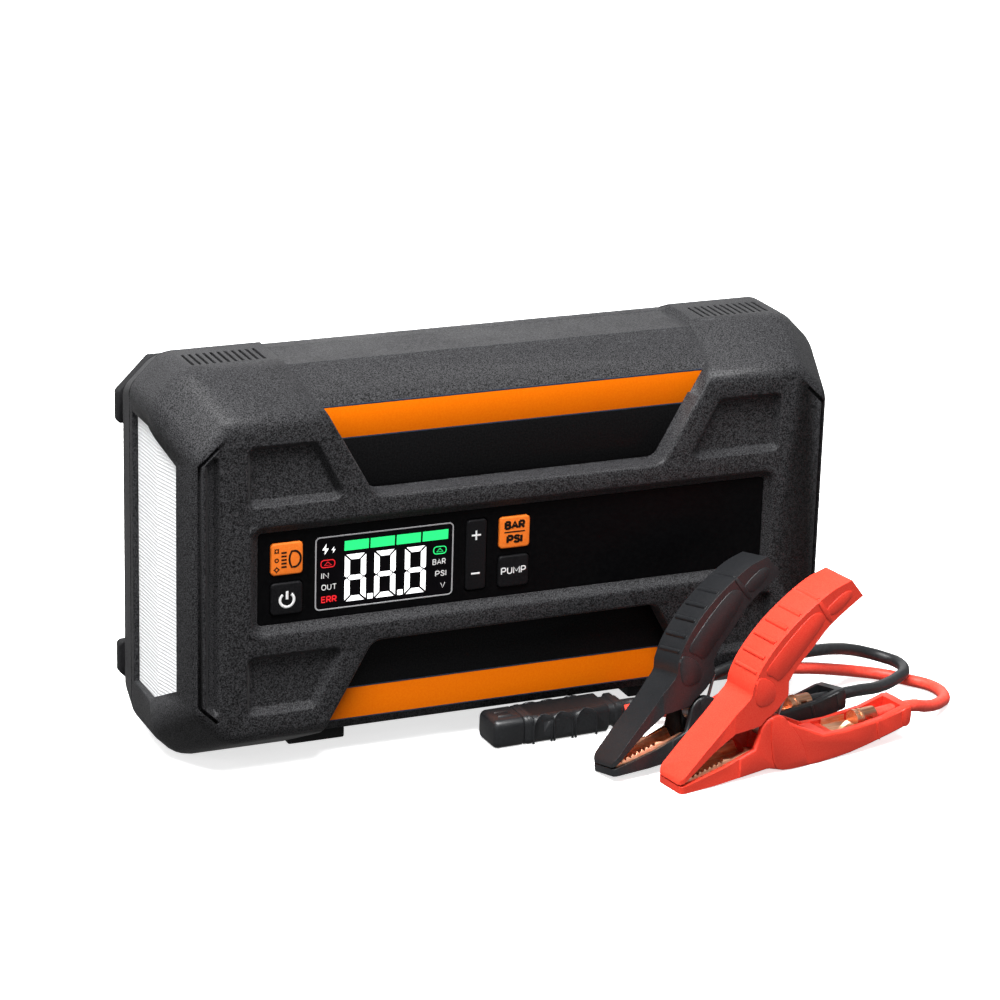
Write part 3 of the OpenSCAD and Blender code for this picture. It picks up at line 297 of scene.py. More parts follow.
# Dipped and moulded PVC, red: satin, with narrow rounded edges.
CLAMP_RED = Finish("pvc_clamp_red", "clamp_red", "#e43625", 0.42, "#e94834", specular=0.4,
                   grain_mm=0.4, grain_depth=0.012, edge_mm=0.18)
# Moulded PVC, black: satin, with narrow rounded edges.
CLAMP_BLACK = Finish("pvc_clamp_black", "clamp_black", "#17181a", 0.4, "#242527",
                     specular=0.45, grain_mm=0.4, grain_depth=0.02, edge_mm=0.18)
# Extruded silicone insulation, red: soft satin.
CORD_RED = Finish("silicone_cord_red", "cord_red", "#ee4434", 0.48, "#f25544", specular=0.4,
                  grain_mm=1.1, grain_depth=0.01)
# Extruded silicone insulation, black: soft satin.
CORD_BLACK = Finish("silicone_cord_black", "cord_black", "#191a1c", 0.46, "#262729",
                    specular=0.5, grain_mm=1.1, grain_depth=0.01)
# Screen-printed ink, white: flat and opaque.
INK_WHITE = Finish("ink_white", "panel", "#e6e6e6", 0.5, "#f0f0f0", specular=0.1,
                   grain_mm=0.4, edge_mm=0.02)
# Screen-printed ink, grey: flat and opaque.
INK_GREY = Finish("ink_grey", "panel", "#9c9c9e", 0.5, "#a8a8aa", specular=0.1,
                  grain_mm=0.4, edge_mm=0.02)
# Screen-printed ink, black on the orange keys: flat and opaque.
INK_BLACK = Finish("ink_black", "key_orange", "#15100c", 0.5, "#1c1610", specular=0.1,
                   grain_mm=0.4, edge_mm=0.02)
# The films' cut edge: a thin dark blue line.
INK_BLUE = Finish("ink_edge_line", "label_black", "#1d2b3a", 0.4, "#24364a", grain_mm=0.4,
                  edge_mm=0.02)
# A lit white segment: an even glow behind the display.
LIT_WHITE = Finish("segment_white", "display", "#f4f4f6", 0.4, "#ffffff", glow=0.92,
                   glow_colour="#ffffff", edge_mm=0.02)
# A lit green segment: an even glow behind the display.
LIT_GREEN = Finish("segment_green", "display", "#18c060", 0.4, "#20d070", glow=0.7,
                   glow_colour="#28f082", edge_mm=0.02)
# A lit red segment: an even glow behind the display.
LIT_RED = Finish("segment_red", "display", "#c01018", 0.4, "#d01820", glow=0.55,
                 glow_colour="#f01824", edge_mm=0.02)


@dataclass(frozen=True)
class PrismLens:
    """Frosted polycarbonate lens with fine curved prism rows; its paler rows and its glow are
    painted light.
    """

    name: str = "polycarbonate_lens_prisms"
    slot: str = "lens"
    pitch_mm: float = 1.3
    bow_mm: float = 130.0
    depth_mm: float = 0.2

    def material(self) -> bpy.types.Material:
        """Make the lens material: rows of prisms as rings about a far centre.

        Returns:
            The material, made the first time it is asked for.
        """
        found = bpy.data.materials.get(self.name)
        if found:
            return found
        material = empty_material(self.name)
        tree = material.node_tree
        place = add_node(tree, "TexCoord").outputs["Object"]
        laid = add_node(tree, "Mapping", None, {
            "Vector": place, "Location": (0.0, 0.004, self.bow_mm / 1000 + 0.02)}).outputs[0]
        rows = add_node(tree, "TexWave", {"wave_type": "RINGS", "rings_direction": "X",
                                          "wave_profile": "TRI"},
                        {"Vector": laid, "Scale": math.pi / (10 * self.pitch_mm / 1000)}
                        ).outputs["Fac"]
        # Paler and darker rows painted along the prisms: painted highlights for the light the rows
        # catch.
        colour = add_node(tree, "ValToRGB", None, {"Fac": rows})
        colour.color_ramp.elements[0].color = to_linear("#cdd0d2")
        colour.color_ramp.elements[1].color = to_linear("#f2f3f4")
        bump = add_node(tree, "Bump", None, {"Height": rows, "Distance": self.depth_mm / 1000,
                                             "Strength": 0.8}).outputs[0]
        # The even white emission is a painted glow that brightens the lens.
        shader = add_node(tree, "BsdfPrincipled", None, {
            "Base Color": colour.outputs[0], "Roughness": 0.32, "Normal": bump,
            "Specular IOR Level": 0.5, "Coat Weight": 0.3, "Coat Roughness": 0.12,
            "Emission Color": (1.0, 1.0, 1.0, 1.0), "Emission Strength": 0.31})
        add_node(tree, "OutputMaterial", None, {"Surface": shader.outputs[0]})
        return material


LENS = PrismLens()

NODE_FINISHES: dict[Union[Finish, PrismLens], tuple[str, ...]] = {
    ZINC: ("case_screws", "panel_screws", "usb_a_port", "usb_c_port", "motor_can"),
    PANEL_FILM: ("control_panel",),
    DISPLAY_GLASS: ("display_window", "display_module"),
    SOLDER_MASK: ("panel_board", "main_board"),
    SWITCH_BLACK: ("key_switches", "power_relays"),
    SILVERED: ("lamp_reflector", "lamp_board"),
    PHOSPHOR: ("lamp_leds",),
    DOOR_RUBBER: ("port_door",),
    SOCKET_NYLON: ("jump_socket",),
    COPPER: ("socket_contacts", "plug_contacts"),
    BRASS: ("hose_outlet", "motor_pinion", "piston"),
    HOSE_RUBBER: ("air_line",),
    TRAY_ABS: ("battery_tray",),
    CELL_FOIL: ("battery_cells",),
    CASTING: ("compressor_frame", "compressor_cylinder"),
    NYLON: ("crank_gear",),
    LENS: ("lamp_lens",),
}


# ------------------------------------------------------------------ mesh work

# Points nearer than this are one: in a shape made here, and in a CAD node's loose triangles.
SEAM_MM, NODE_SEAM_MM = 0.0005, 0.001
# Faces of a CAD node that turn less than this are one flat face.
FLAT_DEGREES = 0.4
# Gap between two letters, for a letter one unit high.
LETTER_GAP = 0.26

def placed(point: Flat, depth: float, plane: Plane) -> Vector:
    """Put a point of an outline in space.

    Args:
        point: The point in the outline's own plane.
        depth: Its place along the third axis.
        plane: The outline's plane.

    Returns:
        The point in space.
    """
    u, v = point
    if plane is Plane.XZ:
        return Vector((u, depth, v))
    if plane is Plane.YZ:
        return Vector((depth, u, v))
    return Vector((u, v, depth))


def _bowl(left: float, low: float, high: float, reach: float) -> list[Flat]:
    """Draw the round half of a letter such as P.

    Args:
        left: Its left side.
        low: Its lowest point.
        high: Its highest point.
        reach: Its right side.

    Returns:
        Its points, from its top left to its bottom left.
    """
    half = (high - low) / 2
    turns = [math.radians(90 - 18 * k) for k in range(11)]
    straight = reach - half * 0.72
    return [(left, high)] + [(straight + half * 0.72 * math.cos(a), low + half + half * math.sin(a))
                             for a in turns] + [(left, low)]


# Width and pen lines of the capitals, for a letter one unit high.
STROKES: dict[str, tuple[float, list[list[Flat]]]] = {
    "A": (0.74, [[(0.0, 0.0), (0.37, 1.0), (0.74, 0.0)], [(0.13, 0.33), (0.61, 0.33)]]),
    "B": (0.6, [[(0.0, 0.0), (0.0, 1.0)], _bowl(0.0, 0.53, 1.0, 0.56), _bowl(0.0, 0.0, 0.53, 0.6)]),
    "P": (0.58, [[(0.0, 0.0), (0.0, 1.0)], _bowl(0.0, 0.42, 1.0, 0.58)]),
    "R": (0.6, [[(0.0, 0.0), (0.0, 1.0)], _bowl(0.0, 0.44, 1.0, 0.58), [(0.28, 0.44), (0.6, 0.0)]]),
    "S": (0.56, [[(0.54, 0.8), (0.45, 0.95), (0.28, 1.0), (0.1, 0.94), (0.02, 0.77), (0.1, 0.61),
                  (0.28, 0.53), (0.47, 0.44), (0.56, 0.25), (0.47, 0.07), (0.28, 0.0),
                  (0.08, 0.06), (0.0, 0.22)]]),
    "I": (0.0, [[(0.0, 0.0), (0.0, 1.0)]]),
    "U": (0.6, [[(0.0, 1.0), (0.0, 0.32), (0.06, 0.12), (0.18, 0.02), (0.3, 0.0), (0.42, 0.02),
                 (0.54, 0.12), (0.6, 0.32), (0.6, 1.0)]]),
    "M": (0.8, [[(0.0, 0.0), (0.0, 1.0), (0.4, 0.3), (0.8, 1.0), (0.8, 0.0)]]),
    "N": (0.64, [[(0.0, 0.0), (0.0, 1.0), (0.64, 0.0), (0.64, 1.0)]]),
    "O": (0.72, [[(0.36, 0.0), (0.16, 0.06), (0.03, 0.25), (0.0, 0.5), (0.03, 0.75), (0.16, 0.94),
                  (0.36, 1.0), (0.56, 0.94), (0.69, 0.75), (0.72, 0.5), (0.69, 0.25),
                  (0.56, 0.06), (0.36, 0.0)]]),
    "T": (0.64, [[(0.0, 1.0), (0.64, 1.0)], [(0.32, 1.0), (0.32, 0.0)]]),
    "V": (0.7, [[(0.0, 1.0), (0.35, 0.0), (0.7, 1.0)]]),
    "E": (0.54, [[(0.54, 1.0), (0.0, 1.0), (0.0, 0.0), (0.54, 0.0)], [(0.0, 0.52), (0.48, 0.52)]]),
}


class Shape:
    """A solid being made, in millimetres."""

    def __init__(self, name: str) -> None:
        """Start with nothing.

        Args:
            name: The piece's name.
        """
        self.name = name
        self.bm = bmesh.new()

    def _round(self, edges: list[bmesh.types.BMEdge], offset: float, segments: int) -> None:
        """Bevel edges to a round profile.

        Args:
            edges: The edges to round.
            offset: How far back from each edge the rounding starts.
            segments: Steps in the rounding.
        """
        bmesh.ops.bevel(self.bm, geom=edges, offset=offset, offset_type="OFFSET",
                        affect="EDGES", segments=segments, profile=0.5, material=-1,
                        clamp_overlap=True)

    def prism(self, outline: Sequence[Flat], low: float, high: float, plane: Plane,
              round_mm: float = 0.0, segments: int = 3) -> "Shape":
        """Add a prism with the given outline.

        Args:
            outline: Its corners, in order.
            low: Where it starts along the third axis.
            high: Where it ends.
            plane: The outline's plane.
            round_mm: Radius of the edges round its two end faces.
            segments: Steps in that rounding.

        Returns:
            This shape.
        """
        corners = [self.bm.verts.new(placed(p, low, plane)) for p in outline]
        base = self.bm.faces.new(corners)
        pulled = bmesh.ops.extrude_face_region(self.bm, geom=[base])["geom"]
        shift = placed((0, 0), high - low, plane)
        tops = [g for g in pulled if isinstance(g, bmesh.types.BMVert)]
        bmesh.ops.translate(self.bm, verts=tops, vec=shift)
        if round_mm > 0:
            caps = set(corners) | set(tops)
            edges = [e for e in self.bm.edges
                     if e.verts[0] in caps and e.verts[1] in caps
                     and (e.verts[0] in tops) == (e.verts[1] in tops)]
            self._round(edges, round_mm, segments)
        return self

    def loft(self, rings: Sequence[tuple[Sequence[Flat], float]], plane: Plane) -> "Shape":
        """Add a solid through outlines that all have as many points.

        Args:
            rings: Each outline with its place along the third axis.
            plane: The outlines' plane.

        Returns:
            This shape.
        """
        loops = []
        for outline, depth in rings:
            verts = [self.bm.verts.new(placed(p, depth, plane)) for p in outline]
            edges = [self.bm.edges.new((verts[i - 1], verts[i])) for i in range(len(verts))]
            loops.append((verts, edges))
        made = set()
        for (_, one), (_, two) in zip(loops, loops[1:]):
            made |= set(bmesh.ops.bridge_loops(self.bm, edges=one + two)["faces"])
        made.add(self.bm.faces.new(loops[0][0]))
        made.add(self.bm.faces.new(loops[-1][0]))
        bmesh.ops.recalc_face_normals(self.bm, faces=list(made))
        return self

    def mirrored(self, *axes: str) -> "Shape":
        """Add a mirror copy across each named plane in turn, "x" or "z".

        Args:
            axes: The axes to mirror along.

        Returns:
            This shape.
        """
        for axis in axes:
            geometry = list(self.bm.verts) + list(self.bm.edges) + list(self.bm.faces)
            copy = bmesh.ops.duplicate(self.bm, geom=geometry)["geom"]
            verts = [g for g in copy if isinstance(g, bmesh.types.BMVert)]
            faces = [g for g in copy if isinstance(g, bmesh.types.BMFace)]
            flip = Vector((-1, 1, 1)) if axis == "x" else Vector((1, 1, -1))
            bmesh.ops.scale(self.bm, vec=flip, verts=verts)
            bmesh.ops.reverse_faces(self.bm, faces=faces)
        return self

    def soften(self, offset: float, angle: float = 25.0, segments: int = 3,
               keep: Optional[Callable[[Vector, Vector], bool]] = None) -> "Shape":
        """Round the sharp edges.

        Args:
            offset: How far back from the edge the rounding starts.
            angle: Flatter edges than this are left.
            segments: Steps in the rounding.
            keep: Which edges, by their two ends; all if None.

        Returns:
            This shape.
        """
        limit = math.radians(angle)
        edges = [e for e in self.bm.edges if len(e.link_faces) == 2
                 and e.calc_face_angle(0.0) > limit
                 and (keep is None or keep(e.verts[0].co, e.verts[1].co))]
        self._round(edges, offset, segments)
        return self

    def box(self, low: Point, high: Point, round_mm: float = 0.0, segments: int = 2) -> "Shape":
        """Add a box, with all its edges rounded if a radius is given.

        Args:
            low: Its lowest corner.
            high: Its highest corner.
            round_mm: Radius of its edges.
            segments: Steps in the rounding.

        Returns:
            This shape.
        """
        size = Vector(high) - Vector(low)
        middle = (Vector(high) + Vector(low)) / 2
        place = Matrix.Translation(middle) @ Matrix.Diagonal((*size, 1.0))
        made = bmesh.ops.create_cube(self.bm, size=1.0, matrix=place)["verts"]
        if round_mm > 0:
            edges = list({e for v in made for e in v.link_edges})
            self._round(edges, round_mm, segments)
        return self

    def rod(self, start: Point, end: Point, radius: float, steps: int = 24,
            tip: Optional[float] = None) -> "Shape":
        """Add a round bar, or a taper where its far end has another radius.

        Args:
            start: The middle of its first end.
            end: The middle of its far end.
            radius: Its radius.
            steps: Sides of its outline.
            tip: The far end's radius, or None for the same.

        Returns:
            This shape.
        """
        run = Vector(end) - Vector(start)
        turn = Vector((0, 0, 1)).rotation_difference(run).to_matrix().to_4x4()
        place = Matrix.Translation((Vector(start) + Vector(end)) / 2) @ turn
        bmesh.ops.create_cone(self.bm, cap_ends=True, cap_tris=False, segments=steps,
                              radius1=radius, radius2=radius if tip is None else tip,
                              depth=run.length, matrix=place)
        return self

    def line(self, points: Sequence[Point], width: float, closed: bool = False,
             flatten: Optional[Plane] = Plane.XZ, flat: float = 0.25) -> "Shape":
        """Add a drawn line, as a low round bead along points.

        Args:
            points: The points it passes through.
            width: Its width.
            closed: Whether it returns to its start.
            flatten: The plane it is pressed against.
            flat: What is left of its height.

        Returns:
            This shape.
        """
        curve = bpy.data.curves.new("stroke", "CURVE")
        curve.dimensions = "3D"
        curve.bevel_depth = width / 2
        curve.bevel_resolution = 2
        curve.use_fill_caps = True
        spline = curve.splines.new("POLY")
        spline.points.add(len(points) - 1)
        for target, point in zip(spline.points, points):
            target.co = (*point, 1.0)
        spline.use_cyclic_u = closed
        middle = points[0][1]
        squeeze = Matrix.Identity(4)
        if flatten is Plane.XZ:
            squeeze = (Matrix.Translation((0, middle, 0)) @ Matrix.Diagonal((1, flat, 1, 1))
                       @ Matrix.Translation((0, -middle, 0)))
        self._absorb(curve, squeeze)
        return self

    def strokes(self, text: str, centre: Flat, width: float, height: float, depth: float,
                pen: float) -> "Shape":
        """Add capital letters drawn with a pen of even width, facing the front.

        Args:
            text: Letters that STROKES holds.
            centre: Their middle in the XZ plane.
            width: Their whole width.
            height: Their height.
            depth: Where they lie along Y.
            pen: The pen's width.

        Returns:
            This shape.
        """
        advance = [STROKES[letter][0] + LETTER_GAP for letter in text]
        scale = (width - pen) / (sum(advance) - LETTER_GAP)
        tall = height - pen
        x = centre[0] - (width - pen) / 2
        for letter, step in zip(text, advance):
            for line in STROKES[letter][1]:
                points = [(x + u * scale, depth, centre[1] + (v - 0.5) * tall) for u, v in line]
                self.line(points, pen)
            x += step * scale
        return self

    def _absorb(self, curve: bpy.types.Curve, place: Matrix) -> None:
        """Turn a curve to a mesh and take it in.

        Args:
            curve: The curve, which is removed.
            place: Where it goes.
        """
        holder = bpy.data.objects.new("curve", curve)
        bpy.context.scene.collection.objects.link(holder)
        depsgraph = bpy.context.evaluated_depsgraph_get()
        mesh = bpy.data.meshes.new_from_object(holder.evaluated_get(depsgraph))
        mesh.transform(place)
        self.bm.from_mesh(mesh)
        bpy.data.objects.remove(holder)
        bpy.data.curves.remove(curve)
        bpy.data.meshes.remove(mesh)

    def tidy(self) -> "Shape":
        """Close seams and turn the faces outwards.

        Returns:
            This shape.
        """
        bmesh.ops.remove_doubles(self.bm, verts=list(self.bm.verts), dist=SEAM_MM)
        bmesh.ops.recalc_face_normals(self.bm, faces=list(self.bm.faces))
        return self

    def work(self, other: "Shape", kind: Boolean) -> "Shape":
        """Cut this shape with another, keep what both hold, or join them.

        Args:
            other: The other shape, which is used up.
            kind: What to do.

        Returns:
            This shape.
        """
        target, tool = self._object(self), self._object(other)
        modifier = target.modifiers.new("work", "BOOLEAN")
        modifier.operation = kind.value
        modifier.solver = "EXACT"
        modifier.use_self = True
        modifier.object = tool
        depsgraph = bpy.context.evaluated_depsgraph_get()
        mesh = bpy.data.meshes.new_from_object(target.evaluated_get(depsgraph))
        self.bm.clear()
        self.bm.from_mesh(mesh)
        for spent in (target, tool):
            data = spent.data
            bpy.data.objects.remove(spent)
            bpy.data.meshes.remove(data)
        bpy.data.meshes.remove(mesh)
        return self

    @staticmethod
    def _object(shape: "Shape") -> bpy.types.Object:
        """Make a passing object of a shape.

        Args:
            shape: The shape, which stays as it is.

        Returns:
            The object.
        """
        mesh = bpy.data.meshes.new(shape.name)
        shape.bm.to_mesh(mesh)
        made = bpy.data.objects.new(shape.name, mesh)
        bpy.context.scene.collection.objects.link(made)
        return made

    def piece(self, finish: Finish, body: str, place: Matrix, smooth: float = 35.0,
              stands_for: Iterable[str] = ()) -> bpy.types.Object:
        """End the shape as a piece of the object.

        Args:
            finish: Its surface.
            body: The CAD body it rides on.
            place: From this shape's frame to the row frame, in metres.
            smooth: Edges flatter than this many degrees are shaded smooth.
            stands_for: The CAD nodes it replaces.

        Returns:
            The piece.
        """
        mesh = bpy.data.meshes.new(self.name)
        self.bm.to_mesh(mesh)
        self.bm.free()
        mesh.transform(place)
        mesh.polygons.foreach_set("use_smooth", [True] * len(mesh.polygons))
        mesh.set_sharp_from_angle(angle=math.radians(smooth))
        mesh.materials.append(finish.material())
        made = bpy.data.objects.new(self.name, mesh)
        bpy.context.scene.collection.objects.link(made)
        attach(made, body)
        nodes = list(stands_for)
        if nodes:
            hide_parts(*nodes)
        LOG.info("%s: %d faces on %s", self.name, len(mesh.polygons), body)
        return made


def shape_of_node(node: str, name: str, into: Matrix) -> Shape:
    """Copy a CAD node's mesh, merged, to work on.

    Args:
        node: The CAD node.
        name: The new piece's name.
        into: From the row frame, in metres, to the shape's frame.

    Returns:
        The copy as a shape.
    """
    made = Shape(name)
    made.bm.from_mesh(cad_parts[node].data)
    bmesh.ops.transform(made.bm, matrix=into, verts=list(made.bm.verts))
    bmesh.ops.remove_doubles(made.bm, verts=list(made.bm.verts), dist=NODE_SEAM_MM)
    bmesh.ops.dissolve_limit(made.bm, angle_limit=math.radians(FLAT_DEGREES),
                             verts=list(made.bm.verts), edges=list(made.bm.edges))
    return made


def spline_points(points: Sequence[Sequence[float]], steps: int, closed: bool = False
                  ) -> list[tuple[float, ...]]:
    """Run a smooth line through points by Catmull-Rom spans.

    Args:
        points: The points, in any number of dimensions.
        steps: Points to give for each span.
        closed: Whether the line returns to its start.

    Returns:
        The points of the smooth line.
    """
    count = len(points)
    spans = count if closed else count - 1
    made = []
    for i in range(spans):
        a, b, c, d = (
            Vector(points[k % count] if closed else points[max(0, min(k, count - 1))])
            for k in (i - 1, i, i + 1, i + 2)
        )
        for k in range(steps):
            t = k / steps
            made.append(tuple(0.5 * (2 * b + (c - a) * t + (2 * a - 5 * b + 4 * c - d) * t * t
                                     + (3 * b - a - 3 * c + d) * t ** 3)))
    if not closed:
        made.append(tuple(points[-1]))
    return made


def arc(centre: Flat, radius: float, start: float, end: float, steps: int) -> list[Flat]:
    """Draw an arc.

    Args:
        centre: Its centre.
        radius: Its radius.
        start: The angle it starts at, in degrees.
        end: The angle it ends at, in degrees.
        steps: Steps along it.

    Returns:
        Its points, both ends with them.
    """
    cx, cy = centre
    turns = [math.radians(start + (end - start) * i / steps) for i in range(steps + 1)]
    return [(cx + radius * math.cos(a), cy + radius * math.sin(a)) for a in turns]


def rounded_rect(low: Flat, high: Flat, radius: float, steps: int = 6) -> list[Flat]:
    """Draw a rectangle with round corners.

    Args:
        low: Its lowest corner.
        high: Its highest corner.
        radius: Radius of its corners.
        steps: Steps round each corner.

    Returns:
        Its points, in order.
    """
    right, left = high[0] - radius, low[0] + radius
    top, foot = high[1] - radius, low[1] + radius
    corners = [((right, top), 0), ((left, top), 90), ((left, foot), 180), ((right, foot), 270)]
    return [p for c, a in corners for p in arc(c, radius, a, a + 90, steps)]


def grown(corners: Sequence[Flat], grow: float, radius: float, steps: int = 5) -> list[Flat]:
    """Push a convex outline outwards and round its corners.

    Args:
        corners: Its sharp corners, anticlockwise.
        grow: How far outwards; inwards if it is negative.
        radius: Corner radius before it is pushed.
        steps: Steps round each corner.

    Returns:
        The points of the new outline.
    """
    made = []
    count = len(corners)
    for i in range(count):
        back, here, ahead = (Vector(corners[k % count]) for k in (i - 1, i, i + 1))
        run_in, run_out = (here - back).normalized(), (ahead - here).normalized()
        turn = math.acos(max(-1.0, min(1.0, run_in.dot(run_out))))
        normal_in = Vector((run_in.y, -run_in.x))
        bisector = (normal_in + Vector((run_out.y, -run_out.x))).normalized()
        corner = here + bisector * (grow / math.cos(turn / 2))
        arc_radius = max(radius + grow, 0.15)
        centre = corner - bisector * (arc_radius / math.cos(turn / 2))
        for k in range(steps + 1):
            a = turn * k / steps
            spoke = Vector((normal_in.x * math.cos(a) - normal_in.y * math.sin(a),
                            normal_in.x * math.sin(a) + normal_in.y * math.cos(a)))
            made.append(tuple(centre + spoke * arc_radius))
    return made


def recess(shape: Shape, corners: Sequence[Flat], depth: float, draft: float, rim: float,
           floor: float, radius: float, out: float = 1.0) -> Shape:
    """Add the form of a moulded recess: rounded rim, drafted wall and rounded floor edge.

    Args:
        shape: The shape it is added to.
        corners: Its sharp corners where the wall starts, anticlockwise in XZ.
        depth: Its depth from the front face.
        draft: How far in the wall leans.
        rim: Radius of the rim.
        floor: Radius between the wall and the floor.
        radius: Corner radius.
        out: How far it reaches out in front.

    Returns:
        The shape.
    """
    steps = [(0.0, -out), (0.0, 0.0), (30.0, 0.0), (60.0, 0.0), (90.0, 0.0)]
    rings = []
    for turn, lift in steps:
        a = math.radians(turn)
        rings.append((rim * (1 - math.sin(a)), rim * (1 - math.cos(a)) + lift))
    for turn in (0.0, 30.0, 60.0, 90.0):
        a = math.radians(turn)
        rings.append((-draft - floor * (1 - math.cos(a)), depth - floor * (1 - math.sin(a))))
    return shape.loft([(grown(corners, g, radius), y) for g, y in rings], Plane.XZ)


# ------------------------------------------------------------------ studio


@dataclass
class Studio:
    """Floor, soft light and the camera."""

    azimuth: float = 23.85
    elevation: float = 18.92
    roll: float = 1.64
    lens: float = 126.0
    eye_m: Point = (-0.46610, -1.06902, 0.47857)
    world_light: float = 0.25
    floor_size_m: float = 12.0

    def build_camera(self) -> None:
        """Place the camera by its heading, its dip and its roll."""
        data = bpy.data.cameras.new("camera")
        data.lens = self.lens
        data.sensor_width = 36.0
        data.clip_end = 50.0
        camera = bpy.data.objects.new("camera", data)
        a, e, r = (math.radians(v) for v in (self.azimuth, self.elevation, self.roll))
        forward = Vector((math.sin(a) * math.cos(e), math.cos(a) * math.cos(e), -math.sin(e)))
        level = Vector((math.cos(a), -math.sin(a), 0))
        upright = level.cross(forward)
        right = math.cos(r) * level + math.sin(r) * upright
        up = math.cos(r) * upright - math.sin(r) * level
        turn = Matrix((right, up, -forward)).transposed().to_4x4()
        camera.matrix_world = Matrix.Translation(self.eye_m) @ turn
        bpy.context.scene.collection.objects.link(camera)
        bpy.context.scene.camera = camera

    def build_light(self) -> None:
        """Set a white surround, a broad softbox above the front and three fainter ones round it."""
        scene = bpy.context.scene
        scene.view_settings.view_transform = "Standard"
        world = bpy.data.worlds.new("surround")
        world.use_nodes = True
        world.node_tree.nodes.clear()
        glow = add_node(world.node_tree, "Background", None,
                        {"Color": (1.0, 1.0, 1.0, 1.0), "Strength": self.world_light})
        add_node(world.node_tree, "OutputWorld", None, {"Surface": glow.outputs[0]})
        scene.world = world
        self._softbox("softbox_top", (-0.35, -0.33, 1.3), (0, 0, 0.07), (1.3, 0.5), 56.0)
        self._softbox("softbox_left", (-1.4, -0.9, 0.9), (0, 0, 0.07), (0.6, 0.8), 3.0)
        self._softbox("softbox_back", (0.2, 2.4, 1.0), (0.2, 0, 0.6), (4.8, 1.8), 28.0)
        self._softbox("softbox_front", (0.9, -1.7, 1.1), (0, 0, 0.07), (0.8, 0.6), 2.5)

    @staticmethod
    def _softbox(name: str, place: Point, aim: Point, size: Flat, power: float) -> None:
        """Hang one softbox.

        Args:
            name: Its name.
            place: Where it hangs, in metres.
            aim: Where it points.
            size: Its two sides, in metres.
            power: In watts.
        """
        light = bpy.data.lights.new(name, "AREA")
        light.shape = "RECTANGLE"
        light.size, light.size_y = size
        light.energy = power
        hung = bpy.data.objects.new(name, light)
        hung.location = place
        run = Vector(aim) - Vector(place)
        hung.rotation_euler = run.to_track_quat("-Z", "Y").to_euler()
        bpy.context.scene.collection.objects.link(hung)

    def build_floor(self) -> None:
        """Lay a plain pale floor, hidden from bounced rays so that it lights nothing."""
        half = self.floor_size_m / 2
        mesh = bpy.data.meshes.new("floor")
        bm = bmesh.new()
        bmesh.ops.create_grid(bm, x_segments=1, y_segments=1, size=half)
        bm.to_mesh(mesh)
        bm.free()
        floor = bpy.data.objects.new("floor", mesh)
        finish = Finish("floor_pale", "", "#fafafa", 0.9, "#ffffff", specular=0.1, grain_mm=9.0,
                        grain_depth=0.0, glow=0.7)
        mesh.materials.append(finish.material())
        floor.visible_glossy = False
        floor.visible_diffuse = False
        bpy.context.scene.collection.objects.link(floor)


# ------------------------------------------------------------------ clamp lead


@dataclass
class Lay:
    """How a clamp or the plug lies on the floor: its place, its heading and its lean."""

    place: Flat
    heading: float
    lean: float = 0.0
    half_width: float = 7.5

    def matrix(self) -> Matrix:
        """Work out where the piece lies.

        Returns:
            From the piece's own frame (along, across, up) to the row frame, still in mm.
        """
        return (Matrix.Translation((*self.place, 0.0))
                @ Matrix.Rotation(math.radians(self.heading), 4, "Z")
                @ Matrix.Translation((0, self.half_width, 0))
                @ Matrix.Rotation(math.radians(-self.lean), 4, "X")
                @ Matrix.Translation((0, -self.half_width, 0)))

    def at(self, along: float, across: float, up: float) -> Point:
        """A point of the piece in the row frame, in mm."""
        return tuple(self.matrix() @ Vector((along, across, up)))


